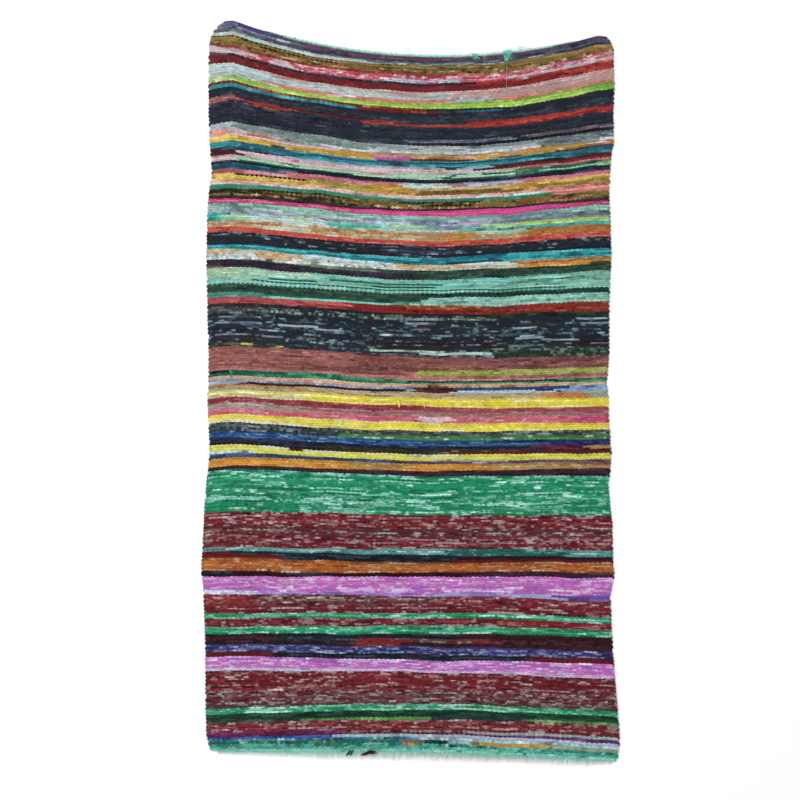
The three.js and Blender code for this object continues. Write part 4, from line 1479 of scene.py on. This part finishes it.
@dataclass
class LooseEnds:
    """Loose ends of rag and yarn on top of the cloth."""

    lay: Lay
    top: float = 4.8
    # How much of its length a fibre keeps, how high it bows, and how thick it is and how that tapers
    kept: tuple[float, float] = (0.8, 1.0)
    bow: float = 1.2
    sizes: tuple[float, float] = (0.7, 1.2)
    taper: float = 0.5
    curls: tuple[float, float] = (5.0, 4.0)
    points: int = 9
    columns: int = 8
    seed: int = 8

    def fibre(self, wisp: Wisp, rng: np.random.Generator) -> Strand:
        """Lay one fibre of a loose end along its course.

        Args:
            wisp: the loose end.
            rng: seeded scatter.

        Returns:
            The fibre.
        """
        t = np.linspace(0, 1, self.points)
        course, codes = np.array(wisp.course, float), wisp.dyes.split()
        start = rng.uniform(0, 1 - wisp.length)
        at = (start + t * wisp.length * rng.uniform(*self.kept)) * (len(course) - 1)
        x, y = (np.interp(at, np.arange(len(course)), course[:, k]) for k in (0, 1))
        off, wave = rng.normal(0, wisp.spread, 2), rng.uniform(0, 2 * np.pi, 2)
        x = x + off[0] + wisp.curl * np.sin(self.curls[0] * t + wave[0])
        y = y + off[1] + wisp.curl * np.sin(self.curls[1] * t + wave[1])
        left = np.array([self.lay.left_of(px, py) for px, py in zip(x, y)])
        bow = rng.uniform(0, self.bow) * np.sin(np.pi * t)
        z = self.top + self.lay.lift(left, x) + bow + wisp.thick
        size = wisp.thick * rng.uniform(*self.sizes) * (1 - self.taper * t**2)
        shade = np.array(linear(codes[rng.integers(len(codes))]))
        return Strand(np.stack([x, y, z], axis=1), size, size, np.tile(shade, (self.points, 1)))

    def build(self, material: bpy.types.Material) -> bpy.types.Object:
        """Lay all the loose ends as one piece.

        Args:
            material: their finish.

        Returns:
            The loose ends.
        """
        rng = np.random.default_rng(self.seed)
        fibres = [self.fibre(wisp, rng) for wisp in WISPS for _ in range(wisp.fibres)]
        rows = math.ceil(len(fibres) / self.columns)
        skein = Skein()
        for number, fibre in enumerate(fibres):
            skein.add(fibre, FIBRE_SECTION, strip_cells(number, self.columns, rows, self.points - 1))
        made = skein.piece("loose_ends", [material])
        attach(made, "root")
        LOG.info("%s: %d fibres", made.name, len(fibres))
        return made


@dataclass(frozen=True)
class Finish:
    """What the finishes of cloth share: how they take the light, and a fine pattern that shades them.

    The streak and crease are the pattern's length and width in mm, and the depth is the height of its folds.
    The dark and light are how much it dims and brightens the dye: a streaky change of tone that, as it
    follows the pattern's height, is also painted shade in its hollows and painted light on its ridges.
    """

    name: str
    roughness: float
    specular: float
    sheen: float
    streak: float
    crease: float
    depth: float
    dark: float
    light: float
    relief: float = 0.8
    levels: tuple[float, float] = (0.3, 0.7)
    sheen_roughness: float = 0.5

    def blank(self) -> tuple[bpy.types.Material, bpy.types.NodeTree]:
        """Make the material.

        Returns:
            The material and its node tree, with nothing in it yet.
        """
        made = bpy.data.materials.new(self.name)
        made.use_nodes = True
        made.node_tree.nodes.clear()
        return made, made.node_tree

    def surface(
        self, tree: bpy.types.NodeTree, dye: bpy.types.NodeSocket, pattern: bpy.types.NodeSocket
    ) -> None:
        """Paint shade and light on the dye by the pattern, darker where it is low, and raise the surface by
        it.

        Args:
            tree: the material's node tree.
            dye: the colour.
            pattern: the pattern's height, 0 to 1.
        """
        low, high = self.levels
        levels = {"From Min": low, "From Max": high, "To Min": self.dark, "To Max": self.light}
        # Painted shade and light: the dye is dimmed in the pattern's hollows and brightened on its ridges
        light = add_node(tree, "MapRange", {"Value": pattern, **levels})
        base = add_node(tree, "VectorMath", {0: dye, "Scale": light.outputs[0]}, operation="SCALE")
        raised = {"Height": pattern, "Strength": self.relief, "Distance": self.depth * MM}
        bump = add_node(tree, "Bump", raised)
        cloth = {
            "Base Color": base.outputs[0],
            "Roughness": self.roughness,
            "Specular IOR Level": self.specular,
            "Sheen Weight": self.sheen,
            "Sheen Roughness": self.sheen_roughness,
            "Normal": bump.outputs[0],
        }
        shader = add_node(tree, "BsdfPrincipled", cloth)
        add_node(tree, "OutputMaterial", {"Surface": shader.outputs[0]})


@dataclass(frozen=True)
class RagFinish(Finish):
    """A finish of woven-in rag, matte or shiny, with its print and its folds along the strip."""

    strip_length: float = 900.0
    strips: float = 28.0
    girth: float = 12.0
    apart: float = 60.0
    # The print is as wide as the strip, drawn coarser than real dots, which would be too fine to show
    print_width: float = 0.4
    print_softness: tuple[float, float] = (-0.1, 0.11)
    fold_scale: float = 1.4
    fold_detail: float = 2.5
    noise_roughness: float = 0.6

    def material(self) -> bpy.types.Material:
        """Make the material.

        Returns:
            The material, which takes its dye and print from the strip itself.
        """
        made, tree = self.blank()
        dye = add_node(tree, "Attribute", {}, attribute_name="rag_dye")
        printed = add_node(tree, "Attribute", {}, attribute_name="rag_print")
        # The map runs along each strip and round it, so the pattern follows the strip as it bows
        strip = add_node(tree, "UVMap", {}, uv_map="OFBake")
        scale = (self.strip_length / self.streak, self.strips * self.girth / self.crease, 0)
        drawn = add_node(tree, "Mapping", {"Vector": strip.outputs[0], "Scale": scale})
        # Bands share one layout of the map, so their height up the rug keeps their patterns apart
        place = add_node(tree, "TexCoord", {})
        up = add_node(tree, "SeparateXYZ", {0: place.outputs["Object"]})
        height = add_node(tree, "CombineXYZ", {"Z": up.outputs["Y"]})
        far = add_node(tree, "VectorMath", {0: height.outputs[0], "Scale": self.apart}, operation="SCALE")
        spot = add_node(tree, "VectorMath", {0: drawn.outputs[0], 1: far.outputs[0]}, operation="ADD")
        stretch = {0: spot.outputs[0], 1: (1.0, self.print_width, 1.0)}
        wider = add_node(tree, "VectorMath", stretch, operation="MULTIPLY")
        rough = {"Roughness": self.noise_roughness}
        blotches = {"Vector": wider.outputs[0], "Scale": 1.0, "Detail": 2.0, **rough}
        blotch = add_node(tree, "TexNoise", blotches)
        ends = {0: blotch.outputs["Fac"], 1: printed.outputs["Alpha"]}
        edge = add_node(tree, "Math", ends, operation="SUBTRACT")
        low, high = self.print_softness
        shown = add_node(tree, "MapRange", {"Value": edge.outputs[0], "From Min": low, "From Max": high})
        mixed = {0: shown.outputs[0], 6: dye.outputs["Color"], 7: printed.outputs["Color"]}
        patched = add_node(tree, "Mix", mixed, data_type="RGBA")
        # The folds run finely along the strip; they raise it, and paint shade in their hollows and light on
        # their ridges
        folds = {"Vector": spot.outputs[0], "Scale": self.fold_scale, "Detail": self.fold_detail, **rough}
        fold = add_node(tree, "TexNoise", folds)
        self.surface(tree, patched.outputs[2], fold.outputs["Fac"])
        return made


@dataclass(frozen=True)
class Yarn(Finish):
    """A finish of spun yarn: dull, with its own twist."""

    def material(self) -> bpy.types.Material:
        """Make the material.

        Returns:
            The material, which takes its colour from the strand's own dye.
        """
        made, tree = self.blank()
        dye = add_node(tree, "Attribute", {}, attribute_name="rag_dye")
        place = add_node(tree, "TexCoord", {})
        per_metre = (1 / MM / self.streak, 1 / MM / self.crease, 1 / MM / self.crease)
        drawn = add_node(tree, "Mapping", {"Vector": place.outputs["Object"], "Scale": per_metre})
        # The grain raises the twist, and paints shade in its hollows and light on its ridges
        grain = add_node(tree, "TexNoise", {"Vector": drawn.outputs[0], "Scale": 1.0, "Detail": 2.0})
        self.surface(tree, dye.outputs["Color"], grain.outputs["Fac"])
        return made


# Torn strips of plain-woven cotton: dull, folded along the strip, with frayed threads
RAG_COTTON = RagFinish(
    "torn cotton rag",
    roughness=0.92,
    specular=0.06,
    sheen=0.02,
    streak=16.0,
    crease=2.3,
    depth=0.65,
    dark=0.8,
    light=1.2,
)
# Strips of knitted jersey, which curl up soft and round: dull, with a fine even nap
RAG_JERSEY = RagFinish(
    "knitted jersey rag",
    roughness=0.88,
    specular=0.08,
    sheen=0.03,
    streak=13.0,
    crease=2.1,
    depth=0.6,
    dark=0.8,
    light=1.2,
)
# Strips of shiny man-made lining: smoother, with a soft gloss along the strip
RAG_SATIN = RagFinish(
    "satin lining rag",
    roughness=0.5,
    specular=0.3,
    sheen=0.0,
    streak=17.0,
    crease=2.3,
    depth=0.5,
    dark=0.84,
    light=1.18,
)
# Spun cotton string, bleached: dull, with a fine twist
WARP_COTTON = Yarn(
    "spun cotton warp",
    roughness=0.93,
    specular=0.15,
    sheen=0.1,
    streak=2.0,
    crease=1.0,
    depth=0.15,
    dark=0.88,
    light=1.08,
    relief=0.6,
)


@dataclass
class Studio:
    """A plain pale floor, soft light from all round, and a camera straight above the rug."""

    floor_size: float = 8.0
    floor_white: float = 0.97
    floor_roughness: float = 0.9
    camera_at: tuple[float, float, float] = (-0.0234, -0.0156, 4.217)
    lens: float = 85.0
    film_width: float = 36.0
    sky: float = 0.84
    lamp_at: tuple[float, float, float] = (-2.1, 1.9, 2.9)
    lamp_size: float = 2.2
    lamp_power: float = 80.0

    def floor(self) -> None:
        """Lay the floor."""
        bpy.ops.object.select_all(action="DESELECT")
        bpy.ops.mesh.primitive_plane_add(size=self.floor_size, location=(0, 0, 0))
        floor = bpy.context.object
        floor.name = "studio_floor"
        made = bpy.data.materials.new("matte white painted board")
        made.use_nodes = True
        tree = made.node_tree
        tree.nodes.clear()
        paint = {"Base Color": (*[self.floor_white] * 3, 1), "Roughness": self.floor_roughness}
        shader = add_node(tree, "BsdfPrincipled", paint)
        add_node(tree, "OutputMaterial", {"Surface": shader.outputs[0]})
        floor.data.materials.append(made)

    def lights(self) -> None:
        """Light the room softly, with one broad lamp that shows the weave."""
        world = bpy.data.worlds.new("pale_room")
        bpy.context.scene.world = world
        world.use_nodes = True
        world.node_tree.nodes.clear()
        sky = add_node(world.node_tree, "Background", {"Color": (1, 1, 1, 1), "Strength": self.sky})
        add_node(world.node_tree, "OutputWorld", {"Surface": sky.outputs[0]})
        lamp = bpy.data.lights.new("broad_lamp", "AREA")
        lamp.size = self.lamp_size
        lamp.energy = self.lamp_power
        holder = bpy.data.objects.new("broad_lamp", lamp)
        x, y, z = self.lamp_at
        holder.location = self.lamp_at
        holder.rotation_euler = (math.atan2(math.hypot(x, y), z), 0, math.atan2(x, -y))
        holder.visible_camera = False
        bpy.context.scene.collection.objects.link(holder)

    def camera(self) -> None:
        """Hang the camera over the rug, looking straight down with the head at the top."""
        lens = bpy.data.cameras.new("overhead")
        lens.lens = self.lens
        lens.sensor_width = self.film_width
        camera = bpy.data.objects.new("overhead", lens)
        camera.location = self.camera_at
        bpy.context.scene.collection.objects.link(camera)
        bpy.context.scene.camera = camera
        bpy.context.scene.view_settings.view_transform = "Standard"


FOOT_FRINGE = Fringe(
    name="foot_fibres",
    node="foot_fringe",
    slot="warp_cotton",
    side=-1,
    first=-432,
    last=452,
    lengths=((-440, 4), (-380, 8), (-280, 12), (-200, 17), (60, 17), (330, 14), (400, 12), (460, 6)),
    roots=("84ecd0", "b0f6e6", "70d8c0", "b8dcd8", "ccfaf0"),
    tips=("ffffff", "f0f8f6", "e0e4e4", "ecdce2", "f0c8d4", "f6dce6", "fcf4f6"),
    fibres=19,
    spread=3.0,
    thick=0.2,
)
HEAD_FRINGE = Fringe(
    name="head_fibres",
    node="head_fringe",
    slot="head_cotton",
    side=1,
    first=-324,
    last=370,
    lengths=((-330, 0.5), (-230, 2.5), (0, 3.5), (200, 3), (380, 0.5)),
    roots=("4cb898", "7fdcbc", "3c8c78"),
    tips=("8ce0c4", "b8ecdc", "6cd0b0", "d4f0e6"),
    fibres=11,
    spread=3.2,
    seed=4,
)


def main() -> None:
    """Build the rug and its studio, and log how many picks, strings and fibres it has."""
    logging.basicConfig(level=logging.INFO, format="%(name)s: %(message)s")
    lay = Lay()
    weave = Weave(lay, StripeChart(lay))
    rags = [RAG_COTTON.material(), RAG_JERSEY.material(), RAG_SATIN.material()]
    cotton = WARP_COTTON.material()
    for number in range(weave.bands):
        weave.band(number, rags)
    weave.strings(cotton)
    FOOT_FRINGE.build(weave, cotton)
    HEAD_FRINGE.build(weave, cotton)
    LooseEnds(lay).build(cotton)
    studio = Studio()
    studio.floor()
    studio.lights()
    studio.camera()


if __name__ == "__main__":
    main()
